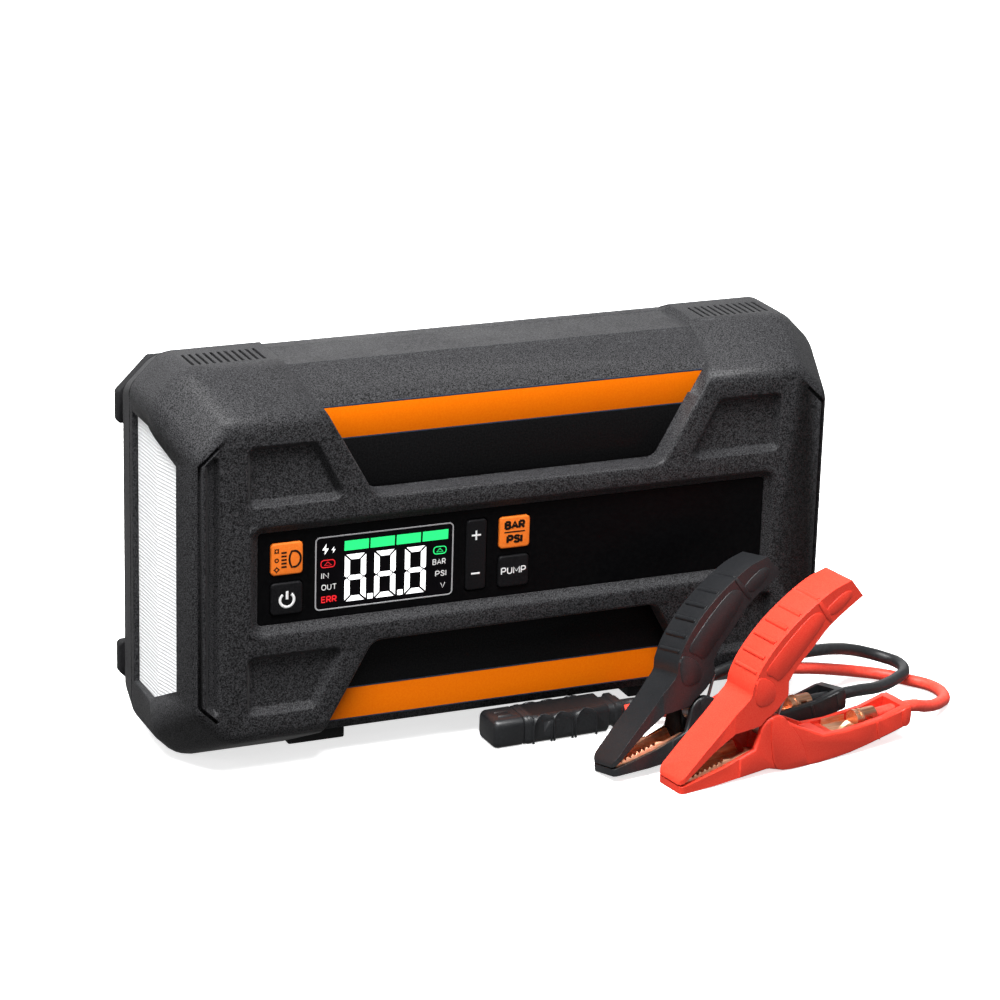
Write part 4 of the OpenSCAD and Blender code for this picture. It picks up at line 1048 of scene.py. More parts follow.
@dataclass
class Cords:
    """The lead's two cords, from the plug's collar into the clamps."""

    plug: Lay = field(default_factory=lambda: Lay((-10.5, -32.2), 2.0))
    red: Lay = field(default_factory=lambda: Lay((33.2, -89.1), 9.0))
    black: Lay = field(default_factory=lambda: Lay((15.9, -73.4), 8.0, 10.6))
    radius: float = 2.2
    spread: float = 2.6
    plug_out: float = 52.0
    axis_height: float = 5.3
    clamp_out: float = 98.5
    clamp_axis: float = 10.0
    inside: float = 14.0
    length_m: float = 0.2

    def black_route(self) -> list[Point]:
        """Lay the black cord from the plug to its clamp.

        Returns:
            Points of its middle.
        """
        return [
            self.plug.at(self.plug_out, self.spread, self.axis_height),
            self.plug.at(self.plug_out + 6, self.spread, self.axis_height),
            (54, -30.2, 6.4), (62, -34.2, 9.4), (70, -36.4, 13.8), (79, -36.4, 17.2),
            (91, -36, 19.1), (105, -36, 19.6), (118, -34.8, 19.4), (129, -29.6, 16.6),
            (138, -23.8, 13), (146, -20.6, 9.8), (152.8, -22.8, 7.8), (156.2, -28.9, 7.2),
            (154.4, -35.9, 7.1), (147, -43.2, 7.7), (135.6, -50.6, 8.8),
            self.black.at(self.clamp_out + 10, 0, self.clamp_axis),
            self.black.at(self.clamp_out - 1, 0, self.clamp_axis),
            self.black.at(self.clamp_out - self.inside, 0, self.clamp_axis),
        ]

    def red_route(self) -> list[Point]:
        """Lay the red cord from the plug to its clamp.

        Returns:
            Points of its middle.
        """
        return [
            self.plug.at(self.plug_out, -self.spread, self.axis_height),
            self.plug.at(self.plug_out + 6, -self.spread, self.axis_height),
            (55, -36.6, 5.2), (64, -41, 5.4), (73, -42.2, 7.6), (82, -40.2, 11.2),
            (92, -37, 14), (103, -36, 14.6), (113, -35.6, 13.4), (122, -32.4, 10.8),
            (132, -27.6, 7.2), (142, -24.4, 4), (151, -26.8, 2.5), (157.6, -34, 2.3),
            (163, -43, 2.3), (161.8, -53, 2.6), (154.6, -61.6, 4.2), (144.4, -69, 7.2),
            self.red.at(self.clamp_out + 6, 0, self.clamp_axis),
            self.red.at(self.clamp_out - self.inside, 0, self.clamp_axis),
        ]

    def build(self) -> dict[str, bpy.types.Object]:
        """Make both cords."""
        return {"red": self._cord("red", self.red_route(), CORD_RED),
                "black": self._cord("black", self.black_route(), CORD_BLACK)}

    def _cord(self, colour: str, route: list[Point], finish: Finish) -> bpy.types.Object:
        """Make one cord as a round curve.

        Args:
            colour: "red" or "black".
            route: The points of its middle, in mm.
            finish: Its surface.

        Returns:
            The cord.
        """
        curve = bpy.data.curves.new(f"{colour}_lead_cord", "CURVE")
        curve.dimensions = "3D"
        curve.bevel_depth = self.radius / 1000
        curve.bevel_resolution = 6
        curve.resolution_u = 8
        curve.use_fill_caps = True
        spline = curve.splines.new("BEZIER")
        spline.bezier_points.add(len(route) - 1)
        for knot, point in zip(spline.bezier_points, route):
            knot.co = Vector(point) / 1000
            knot.handle_left_type = knot.handle_right_type = "AUTO"
        curve.materials.append(finish.material())
        made = bpy.data.objects.new(f"{colour}_lead_cord", curve)
        bpy.context.scene.collection.objects.link(made)
        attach(made, "case")
        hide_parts(f"{colour}_cord")
        return made

    def declare(self, pieces: dict[str, list]) -> None:
        """Work out each cord's first point in metres and gather its pieces; neither result is kept.

        Args:
            pieces: The pieces that go with each, by colour.
        """
        for colour, route in (("red", self.red_route()), ("black", self.black_route())):
            tuple(v / 1000 for v in route[0])
            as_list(pieces[colour])


@dataclass
class Clamp:
    """One battery clamp: two insulated handles with copper jaws, a pin and a spring."""

    colour: str
    lay: Lay
    insulation: Finish
    width: float = 15.0
    jaw_width: float = 14.0
    pivot: Flat = (38.5, 15.5)
    hump: float = 6.2
    raised: float = 0.2
    cord_z: float = 10.0
    pin_radius: float = 1.66
    rib_half: float = 5.9
    rib_radius: float = 0.85
    collar_radius: float = 0.8
    spring_turns: int = 5
    spring_pitch: float = 1.15
    spring_radius: float = 3.05
    spring_wire: float = 0.55
    crimps: tuple[float, ...] = (77.9, 80.2)
    crimp_radius: float = 3.5
    barrel_bore: float = 2.9
    back: tuple[Flat, ...] = ((27.9, 31.4), (28.7, 35.3), (32.0, 41.4), (38.1, 48.5), (45.3, 54.7),
                              (54.0, 60.5), (61.0, 64.1), (68.1, 66.2))
    inner: tuple[Flat, ...] = ((73.3, 59.7), (64.0, 54.1), (58.4, 50.0), (52.3, 43.8),
                               (46.8, 38.5), (43.5, 33.7), (43.7, 30.5), (43.1, 28.2))
    throat: tuple[Flat, ...] = ((39.4, 24.4), (32.0, 19.2), (27.0, 18.7), (22.0, 18.1),
                                (13.4, 13.0), (0.4, 3.3), (-0.1, 3.1), (0.3, 5.0), (8.3, 12.7),
                                (18.3, 21.8), (24.0, 27.3), (26.9, 29.9))
    shell: tuple[Flat, ...] = ((0.1, 0.05), (14.0, 0.45), (28.0, 1.6), (36.0, 2.3), (39.5, 1.5),
                               (43.0, 0.4), (47.0, 0.03), (53.0, 0.0), (59.0, 0.03), (66.0, 0.45),
                               (72.0, 1.05), (80.0, 2.5), (90.0, 4.7), (98.4, 6.85), (98.4, 13.9),
                               (95.4, 13.7), (86.0, 11.4), (70.0, 9.95), (60.0, 10.3),
                               (48.0, 16.1), (44.0, 18.5), (33.0, 18.2), (30.4, 10.6),
                               (17.9, 6.4), (0.1, 2.55))
    grip_panel: tuple[Flat, ...] = ((33.4, 39.4), (36.2, 36.6), (39.6, 35.2), (46.0, 41.2),
                                    (52.4, 47.8), (56.4, 52.6), (56.6, 55.6), (52.4, 56.6),
                                    (46.9, 52.9), (40.2, 46.9))
    tip_panel: tuple[Flat, ...] = ((57.8, 57.2), (61.4, 55.2), (67.4, 59.4), (68.2, 62.2),
                                   (64.4, 62.0))
    neck_panel: tuple[Flat, ...] = ((29.9, 36.4), (32.6, 36.6), (36.4, 34.0), (37.7, 30.4),
                                    (35.8, 27.0), (31.4, 26.6), (29.3, 29.6))
    ribs: tuple[Flat, ...] = ((33.5, 43.2), (37.8, 48.1), (42.4, 52.2), (47.8, 56.2))
    collars: tuple[tuple[float, float, float], ...] = ((55.2, 60.7, 6.0), (30.6, 38.4, 6.0))
    collar_sides: tuple[tuple[Flat, ...], ...] = (
        ((54.2, 59.6), (55.5, 60.3), (60.1, 53.9), (58.9, 53.1)),)
    bands: tuple[tuple[Flat, ...], ...] = (
        ((83.0, 9.6), (84.0, 10.0), (85.0, 4.6), (84.2, 4.2)),
        ((94.6, 12.4), (97.9, 13.2), (97.9, 7.6), (95.2, 6.8)))

    @property
    def place(self) -> Matrix:
        """From the clamp's own frame to the row frame, in metres."""
        return METRE @ self.lay.matrix()

    @property
    def arm(self) -> str:
        """The CAD body that the long arm rides on."""
        return f"{self.colour}_lever"

    def build(self) -> list[bpy.types.Object]:
        """Make both handles, the jaws, the pin, the spring and the lug.

        Returns:
            The clamp's pieces.
        """
        return [self._upper(), self._lower(), *self._jaws(), self._pin(), *self._spring(),
                self._lug()]

    def _copy(self, part: str, name: str) -> Shape:
        """Copy one of this clamp's CAD nodes in the clamp's own frame."""
        return shape_of_node(f"{self.colour}_{part}", f"{self.colour}_{name}",
                             self.place.inverted())

    def _plate(self, shape: Shape, outline: Sequence[Flat], side: int, face: float,
               proud: float) -> None:
        """Add a raised plate with round edges on one side face.

        Args:
            shape: The shape it joins.
            outline: Its outline, smoothed.
            side: 1 or -1.
            face: Half the width where it stands.
            proud: How far it stands out.
        """
        near, far = sorted((side * (face - 0.6), side * (face + proud)))
        plate = Shape("plate").prism(spline_points(outline, 4, closed=True), near, far, Plane.XZ,
                                     min(0.14, proud * 0.6), 2)
        shape.work(plate.tidy(), Boolean.JOIN)

    def _plan(self) -> Shape:
        """Make the clamp's form from above: a round nose that widens to the handles.

        Returns:
            The form, to keep a handle within.
        """
        near, wide = self.jaw_width / 2, self.width / 2 + 0.02
        side = [(-0.05, near - 1.9), (0.3, near - 0.9), (1.0, near - 0.25), (2.0, near + 0.01),
                (22.0, near + 0.01), (25.0, wide), (110.0, wide)]
        outline = side + [(x, -y) for x, y in reversed(side)]
        return Shape("plan").prism(outline, -5.0, 75.0, Plane.XY)

    def _upper(self) -> bpy.types.Object:
        """Make the long arm: smooth back with ribs, collars and raised side panels.

        Returns:
            The arm.
        """
        back = spline_points(self.back, 5)
        inner = spline_points(self.inner, 4)
        outline = [*back, *inner, *self.throat]
        half = self.width / 2 + 0.01
        form = Shape("arm_form").prism(outline, -half, half, Plane.XZ)
        tips = {(round(u, 3), round(v, 3)) for u, v in back[2:]}

        def on_back(a: Vector, b: Vector) -> bool:
            """Whether an edge runs along the arm's back."""
            flat = abs(a.y - b.y) < 1e-4
            return flat and all((round(c.x, 3), round(c.z, 3)) in tips for c in (a, b))

        form.soften(1.8, 25.0, 5, on_back)
        form.soften(0.9, 40.0, 3, lambda a, b: abs(a.y - b.y) < 0.05 and abs(a.y) > half - 0.1)
        arm = self._copy("upper_handle", "upper_handle_grip")
        arm.work(form.tidy(), Boolean.KEEP)
        arm.work(self._plan().tidy(), Boolean.KEEP)
        for x, z in self.ribs:
            rib = Shape("rib").rod((x, -self.rib_half, z), (x, self.rib_half, z),
                                   self.rib_radius, 16)
            arm.work(rib.tidy(), Boolean.JOIN)
        for x, z, across in self.collars:
            strip = Shape("collar").rod((x, -across, z), (x, across, z), self.collar_radius, 16)
            arm.work(strip.tidy(), Boolean.JOIN)
        for side in (-1, 1):
            for outline in self.collar_sides:
                self._plate(arm, outline, side, self.width / 2, self.raised + 0.1)
            self._plate(arm, self.grip_panel, side, self.width / 2, self.raised)
            self._plate(arm, self.tip_panel, side, self.width / 2, self.raised)
            self._plate(arm, self.neck_panel, side, self.width / 2, self.raised)
        return arm.piece(self.insulation, self.arm, self.place, 32.0,
                         [f"{self.colour}_upper_handle"])

    def _lower(self) -> bpy.types.Object:
        """Make the trough-shaped handle with its shelf, hump plates and end bands.

        Returns:
            The handle.
        """
        half = self.width / 2 + 0.01
        form = Shape("trough_form").prism(self.shell, -half, half, Plane.XZ, 0.8, 3)
        ring = arc(self.pivot, self.hump, 0, 348.75, 31)
        hump = Shape("hump_form").prism(ring, -half, half, Plane.XZ, 0.7, 3)
        form.work(hump.tidy(), Boolean.JOIN)
        trough = self._copy("lower_handle", "lower_handle_trough")
        trough.work(form.tidy(), Boolean.KEEP)
        trough.work(self._plan().tidy(), Boolean.KEEP)
        shelf = Shape("shelf").box((60.9, -5.3, 7.7), (67.0, 5.3, 8.9), 0.2)
        trough.work(shelf.tidy(), Boolean.JOIN)
        x, z = self.pivot
        plate = [(x - 1.2, z + 5.9), *[(x + 0.6 + 5.6 * math.sin(a), z + 5.6 * math.cos(a) - 0.1)
                                       for a in (0.3, 0.75, 1.15)],
                 (x + 8.6, z - 1.2), (x + 11.6, z - 6.0), (x + 13.6, z - 11.0), (x + 14.2, 0.9),
                 (x + 7.0, 0.6), (x + 1.6, 2.0), (x - 0.6, z - 9.0), (x - 1.8, z)]
        for side in (-1, 1):
            self._plate(trough, plate, side, self.width / 2, self.raised + 0.15)
            for outline in self.bands:
                self._plate(trough, outline, side, self.width / 2, self.raised + 0.1)
        return trough.piece(self.insulation, "case", self.place, 32.0,
                            [f"{self.colour}_lower_handle"])

    def _jaws(self) -> list[bpy.types.Object]:
        """Keep the pressed copper jaws, with their edges eased.

        Returns:
            The lower and the upper jaw.
        """
        made = []
        for part, body in (("lower_jaw", "case"), ("upper_jaw", self.arm)):
            jaw = self._copy(part, f"{part}_pressing")
            jaw.soften(0.12, 30.0, 1)
            made.append(jaw.piece(COPPER, body, self.place, 30.0, [f"{self.colour}_{part}"]))
        return made

    def _pin(self) -> bpy.types.Object:
        """Make the pivot pin with riveted ends.

        Returns:
            The pin.
        """
        x, z = self.pivot
        end = self.width / 2 - 1.3
        pin = Shape(f"{self.colour}_pivot_rivet").rod((x, -end, z), (x, end, z),
                                                      self.pin_radius, 32)
        pin.soften(0.3, 60.0, 2)
        return pin.tidy().piece(ZINC, "case", self.place, 35.0, [f"{self.colour}_pin"])

    def _spring(self) -> list[bpy.types.Object]:
        """Wind the torsion spring round the pin, with a leg to each handle.

        Returns:
            The spring.
        """
        x, z = self.pivot
        turns, radius, wire = self.spring_turns, self.spring_radius, self.spring_wire
        half = turns * self.spring_pitch / 2
        path = [(x + radius + 4.87, wire - half, z + 12.0), (x + radius, wire - half, z)]
        steps = 20 * turns
        for k in range(steps + 1):
            a = math.radians(360 * turns * k / steps)
            y = wire - half + (2 * half - 2 * wire) * k / steps
            path.append((x + radius * math.cos(a), y, z - radius * math.sin(a)))
        path += [(x + 1.0, half - wire, z - radius), (x + 13.8, half - wire, z - 4.9)]
        coil = Shape(f"{self.colour}_torsion_spring").line(path, 2 * wire, flatten=None)
        return [coil.piece(ZINC, "case", self.place, 50.0, [f"{self.colour}_spring"])]

    def _lug(self) -> bpy.types.Object:
        """Make the crimped lug: the contact strip with a folded edge and a dimpled barrel.

        Returns:
            The lug.
        """
        lug = self._copy("lug", "crimped_lug")
        blade = [(67.2, -4.3), (71.6, -4.3), (74.6, -2.3), (79.4, -2.0), (79.4, 2.0), (78.2, 2.4),
                 (77.6, 4.3), (67.2, 4.3)]
        lug.work(Shape("blade").prism(blade, 7.9, 8.5, Plane.XY, 0.15, 1).tidy(), Boolean.JOIN)
        fold = Shape("fold").box((67.2, 3.8, 8.2), (77.4, 4.4, 10.6), 0.15)
        lug.work(fold.tidy(), Boolean.JOIN)
        foot = Shape("foot").box((68.0, -2.2, 4.2), (68.8, 2.2, 8.2), 0.1)
        lug.work(foot.tidy(), Boolean.JOIN)
        z = self.cord_z
        for along in self.crimps:
            band = Shape("band").rod((along, 0.0, z), (along + 0.9, 0.0, z),
                                     self.crimp_radius, 32)
            bore = Shape("bore").rod((along - 1, 0.0, z), (along + 2, 0.0, z),
                                     self.barrel_bore, 32)
            band.tidy().work(bore.tidy(), Boolean.CUT)
            lug.work(band, Boolean.JOIN)
        for across in (-1, 1):
            y = across * 3.9
            dent = Shape("dent").rod((82.0, y, z), (84.6, y, z), 1.5, 20)
            lug.work(dent.tidy(), Boolean.CUT)
        lug.soften(0.1, 40.0, 1)
        return lug.piece(COPPER, "case", self.place, 32.0, [f"{self.colour}_lug"])


@dataclass
class Plug:
    """The lead's plug: a dust cap, a ribbed grip and a stepped collar."""

    lay: Lay
    width: float = 14.5
    height: float = 10.6
    seam: float = 11.5
    end: float = 45.0
    ribs: tuple[float, ...] = (17.5, 24.6, 34.0)

    @property
    def place(self) -> Matrix:
        """From the plug's own frame to the row frame, in metres."""
        return METRE @ self.lay.matrix()

    def build(self) -> list[bpy.types.Object]:
        """Make the cap, the grip and the collar.

        Returns:
            The plug's pieces.
        """
        return [self._cap(), self._grip(), self._collar()]

    def _section(self, x: float, width: float, height: float, radius: float
                 ) -> tuple[list[Flat], float]:
        """Draw one round-cornered section of the plug.

        Args:
            x: Its place along the plug.
            width: Its width.
            height: Its height.
            radius: Radius of its corners.

        Returns:
            The outline and its place.
        """
        middle = self.height / 2
        low, high = (-width / 2, middle - height / 2), (width / 2, middle + height / 2)
        return (rounded_rect(low, high, radius, 6), x)

    def _cap(self) -> bpy.types.Object:
        """Make the dust cap with a crowned end and two raised bars on top.

        Returns:
            The cap.
        """
        w, h = self.width, self.height
        form = Shape("cap_form").loft([
            self._section(0.02, w - 3.0, h - 3.0, 1.8), self._section(0.35, w - 1.7, h - 1.7, 2.1),
            self._section(1.0, w - 0.6, h - 0.6, 2.4), self._section(2.0, w, h, 2.6),
            self._section(self.seam - 0.5, w, h, 2.6),
            self._section(self.seam, w - 0.8, h - 0.8, 2.4)], Plane.YZ)
        cap = shape_of_node("plug_cap", "plug_dust_cap", self.place.inverted())
        cap.work(form.tidy(), Boolean.KEEP)
        for side in (-1.7, 1.7):
            bar = Shape("bar").box((3.4, side - 0.55, h - 0.6), (8.6, side + 0.55, h + 0.18), 0.2)
            cap.work(bar.tidy(), Boolean.JOIN)
        return cap.piece(CLAMP_BLACK, "cap", self.place, 35.0, ["plug_cap"])

    def _grip(self) -> bpy.types.Object:
        """Make the grip with a hooped rib at each finger hold.

        Returns:
            The grip.
        """
        w, h = self.width, self.height
        form = Shape("grip_form").loft([
            self._section(7.0, w - 4.4, h - 4.4, 1.0),
            self._section(self.seam, w - 4.4, h - 4.4, 1.0),
            self._section(self.seam + 0.05, w - 0.9, h - 0.9, 2.4),
            self._section(self.seam + 0.6, w, h, 2.6), self._section(self.end - 0.8, w, h, 2.6),
            self._section(self.end, w - 1.4, h - 1.4, 2.2)], Plane.YZ)
        grip = shape_of_node("plug_body", "plug_grip", self.place.inverted())
        grip.work(form.tidy(), Boolean.KEEP)
        for x in self.ribs:
            for side in (-1, 1):
                hoop = [(x - 2.4, side * (w / 2 - 0.1), 0.4), (x - 2.4, side * (w / 2 - 0.1), 6.6),
                        (x - 1.6, side * (w / 2 - 0.3), 8.6), (x, side * (w / 2 - 1.0), 9.9),
                        (x + 1.8, side * (w / 2 - 1.4), 10.3), (x + 4.2, side * (w / 2 - 0.7), 9.6),
                        (x + 5.4, side * (w / 2 - 0.1), 7.6), (x + 5.8, side * (w / 2 - 0.1), 0.4)]
                bead = Shape("hoop").line(spline_points(hoop, 4), 0.9, flatten=None)
                grip.work(bead.tidy(), Boolean.JOIN)
        ring = Shape("ring").loft([
            self._section(13.2, w + 0.1, h + 0.1, 2.6), self._section(13.5, w + 0.5, h + 0.3, 2.7),
            self._section(14.7, w + 0.5, h + 0.3, 2.7), self._section(15.0, w + 0.1, h + 0.1, 2.6),
        ], Plane.YZ)
        hole = Shape("hole").loft([self._section(13.0, w - 2, h - 2, 2.0),
                                   self._section(15.2, w - 2, h - 2, 2.0)], Plane.YZ)
        ring.work(hole.tidy(), Boolean.CUT)
        grip.work(ring.tidy(), Boolean.JOIN)
        return grip.piece(CLAMP_BLACK, "case", self.place, 35.0, ["plug_body"])

    def _collar(self) -> bpy.types.Object:
        """Make the stepped collar that the cords leave.

        Returns:
            The collar.
        """
        w, h, x = self.width, self.height, self.end
        rings = [(0.0, -3.0, -2.0), (2.6, -3.0, -2.0), (3.0, -2.2, -0.9), (3.3, -1.6, -0.4),
                 (5.1, -1.6, -0.4), (5.4, -2.2, -0.9), (5.7, -4.0, -2.0), (6.6, -4.0, -2.0),
                 (7.0, -4.6, -2.8)]
        collar = Shape("plug_strain_collar").loft(
            [self._section(x + dx, w + dw, h + dh, min(3.0, (h + dh) / 2 - 0.1))
             for dx, dw, dh in rings], Plane.YZ)
        return collar.tidy().piece(CLAMP_BLACK, "case", self.place, 35.0, ["plug_collar"])


# ------------------------------------------------------------------ case


@dataclass
class CaseShells:
    """The two moulded halves of the case, their pads and the label plates."""

    half_x: float = 124.2
    half_z: float = 68.5
    front_x: float = 117.4
    front_z: float = 57.0
    corner_leg: float = 11.2
    front_leg: float = 11.9
    rear_leg: float = 10.0
    foot_reach: float = 2.0
    foot_leg: float = 8.7
    slope_y: float = 26.5
    parting_y: float = 50.0
    rear_y: float = 62.0
    ridge: float = 3.4
    rear_ridge: float = 2.6
    pocket: tuple[Flat, ...] = ((64.2, 26.8), (99.0, 26.8), (99.0, 47.6), (74.9, 47.6))
    pocket_depth: float = 3.0
    groove: tuple[Flat, ...] = ((109.5, -48.5), (110.1, -48.5), (116.0, -42.2), (116.0, 42.2),
                                (110.1, 48.5), (109.5, 48.5))
    groove_depth: float = 3.4
    sunk_strip: tuple[Flat, ...] = ((-113.5, -43.2), (-109.5, -46.9), (-109.5, 46.9),
                                    (-113.5, 43.2))
    sunk_depth: float = 2.3
    cap_seam: tuple[Flat, ...] = ((115.1, -42.6), (115.1, 42.6), (109.2, 48.3), (109.9, 49.3),
                                  (116.5, 43.1), (116.5, -43.1), (109.9, -49.3),
                                  (109.2, -48.3))
    panel: tuple[Flat, ...] = ((-95.0, -16.5), (95.0, -16.5), (95.0, 16.5), (-95.0, 16.5))
    panel_recess: float = 2.5
    zone: tuple[Flat, ...] = ((-53.6, 26.2), (53.6, 26.2), (82.0, 76.4), (-82.0, 76.4))
    zone_depth: float = 8.5
    zone_corner: float = 5.5

    def build(self) -> None:
        """Make both halves and what is fixed to them."""
        self._front()
        self._rear()
        self._pads()
        self._labels()

    def _ring(self, y: float, hx: float, hz: float, leg: float, reach: float, foot: float
              ) -> tuple[list[Flat], float]:
        """One octagonal section of the case.

        Args:
            y: Its place from front to back.
            hx: Half its width.
            hz: Its top above the middle.
            leg: Leg of its upper corner cuts.
            reach: How much further down than up it goes.
            foot: Leg of its lower corner cuts.

        Returns:
            The outline and its place.
        """
        low = -hz - reach
        return ([(hx, hz - leg), (hx - leg, hz), (-hx + leg, hz), (-hx, hz - leg),
                 (-hx, low + foot), (-hx + foot, low), (hx - foot, low), (hx, low + foot)], y)

    def _full(self, y: float) -> tuple[list[Flat], float]:
        """The widest section, at y."""
        return self._ring(y, self.half_x, self.half_z, self.corner_leg, self.foot_reach,
                          self.foot_leg)

    def _front(self) -> None:
        """Round the front half's ridges and draft the walls of its recesses."""
        whole = Shape("envelope").loft(
            [self._ring(0.01, self.front_x, self.front_z, self.front_leg, 0.0, self.front_leg),
             self._full(self.slope_y), self._full(self.parting_y + 4)], Plane.XZ)
        whole.soften(self.ridge, 5.0, 5, lambda a, b: min(a.y, b.y) < self.parting_y)
        shell = shape_of_node("front_shell", "front_shell_moulding", CASE_PLACE.inverted())
        pockets = Shape("infill_pockets")
        pockets.prism(grown(self.pocket, 0.4, 0.5, 2), -0.5, self.pocket_depth + 0.2, Plane.XZ)
        pockets.mirrored("x", "z")
        grooves = Shape("infill_grooves")
        grooves.prism(grown(self.groove, 0.3, 0.2, 1), -0.5, self.groove_depth + 0.2, Plane.XZ)
        grooves.mirrored("x")
        zones = Shape("infill_zones")
        zones.prism([(-57.2, 25.0), (57.2, 25.0), (70.5, 49.0), (-70.5, 49.0)], -0.5,
                    self.zone_depth + 0.05, Plane.XZ)
        zones.mirrored("z")
        panel = Shape("infill_panel")
        panel.prism(grown(self.panel, 4.4, 0.5, 2), -0.5, self.panel_recess, Plane.XZ)
        for part in (pockets, grooves, zones, panel):
            shell.work(part.tidy(), Boolean.JOIN)
        shell.work(whole.tidy(), Boolean.KEEP)
        cuts = Shape("recess_pockets")
        recess(cuts, self.pocket, self.pocket_depth, 1.3, 0.7, 0.6, 2.4)
        cuts.mirrored("x", "z")
        shell.work(cuts.tidy(), Boolean.CUT)
        cuts = Shape("recess_sunk_strip")
        recess(cuts, self.sunk_strip, self.sunk_depth, 0.9, 0.9, 0.4, 1.2)
        shell.work(cuts.tidy(), Boolean.CUT)
        cuts = Shape("cap_seams").prism(self.cap_seam, -0.5, self.groove_depth - 0.1, Plane.XZ)
        shell.work(cuts.mirrored("x").tidy(), Boolean.CUT)
        cuts = Shape("recess_panel")
        recess(cuts, grown_square(self.panel, 2.2), self.panel_recess + 0.02, 2.2, 1.4, 0.0, 3.8)
        shell.work(cuts.tidy(), Boolean.CUT)
        cuts = Shape("recess_zones")
        recess(cuts, self.zone, self.zone_depth, 0.6, 1.2, 0.5, self.zone_corner)
        cuts.mirrored("z")
        shell.work(cuts.tidy(), Boolean.CUT)
        shell.piece(CASE_ABS, "case", CASE_PLACE, 30.0, ["front_shell"])

    def _rear(self) -> None:
        """Round the rear half's ridges."""
        whole = Shape("envelope_rear").loft(
            [self._full(self.parting_y - 4), self._full(self.parting_y),
             self._ring(self.rear_y, self.half_x - 0.8, self.half_z - 5.5, self.rear_leg,
                        self.foot_reach, self.foot_leg)], Plane.XZ)
        low = self.parting_y - 3
        whole.soften(self.rear_ridge, 5.0, 5, lambda a, b: max(a.y, b.y) > low
                     and not (abs(a.y - self.parting_y) < 0.1 and abs(b.y - self.parting_y) < 0.1))
        shell = shape_of_node("rear_shell", "rear_shell_moulding", CASE_PLACE.inverted())
        shell.work(whole.tidy(), Boolean.KEEP)
        shell.piece(CASE_ABS, "case", CASE_PLACE, 30.0, ["rear_shell"])

    def _pads(self) -> None:
        """Round the rubber pads."""
        for node, offset in (("rear_pads", 1.0), ("foot_pads", 0.7)):
            pad = shape_of_node(node, f"{node}_moulding", CASE_PLACE.inverted())
            pad.soften(offset).piece(PAD_RUBBER, "case", CASE_PLACE, 35.0, [node])

    def _labels(self) -> None:
        """Make the label plates with round inner corners, their stripes and their edge lines."""
        y = self.zone_depth
        field_outline = grown(((-54.6, 27.0), (54.6, 27.0), (64.9, 45.2), (-64.9, 45.2)), 0.0,
                              4.4, 6)
        sharp = [p for p in field_outline if p[1] < 36] + [(64.9, 45.2), (-64.9, 45.2)]
        plates = Shape("label_field_films").prism(sharp, y - 0.8, y, Plane.XZ, 0.3, 2)
        plates.mirrored("z").piece(LABEL_BLACK, "case", CASE_PLACE, 35.0, ["label_plates"])
        stripe = [(-64.95, 45.3), (64.95, 45.3), (71.35, 56.7), (-71.35, 56.7)]
        bands = Shape("label_stripe_films").prism(stripe, y - 0.8, y, Plane.XZ, 0.25, 2)
        bands.mirrored("z").piece(LABEL_ORANGE, "case", CASE_PLACE, 35.0, ["label_stripes"])
        edge = Shape("label_edge_lines")
        for rise in (45.25, 56.75):
            half = 64.9 + (rise - 45.2) * 0.56
            edge.box((-half, y - 0.84, rise - 0.22), (half, y - 0.5, rise + 0.22))
        edge.mirrored("z").piece(INK_BLUE, "case", CASE_PLACE)


def grown_square(corners: Sequence[Flat], grow: float) -> list[Flat]:
    """An outline's sharp corners pushed outwards along both axes."""
    return [(x + math.copysign(grow, x), z + math.copysign(grow, z)) for x, z in corners]


# ------------------------------------------------------------------ front panel


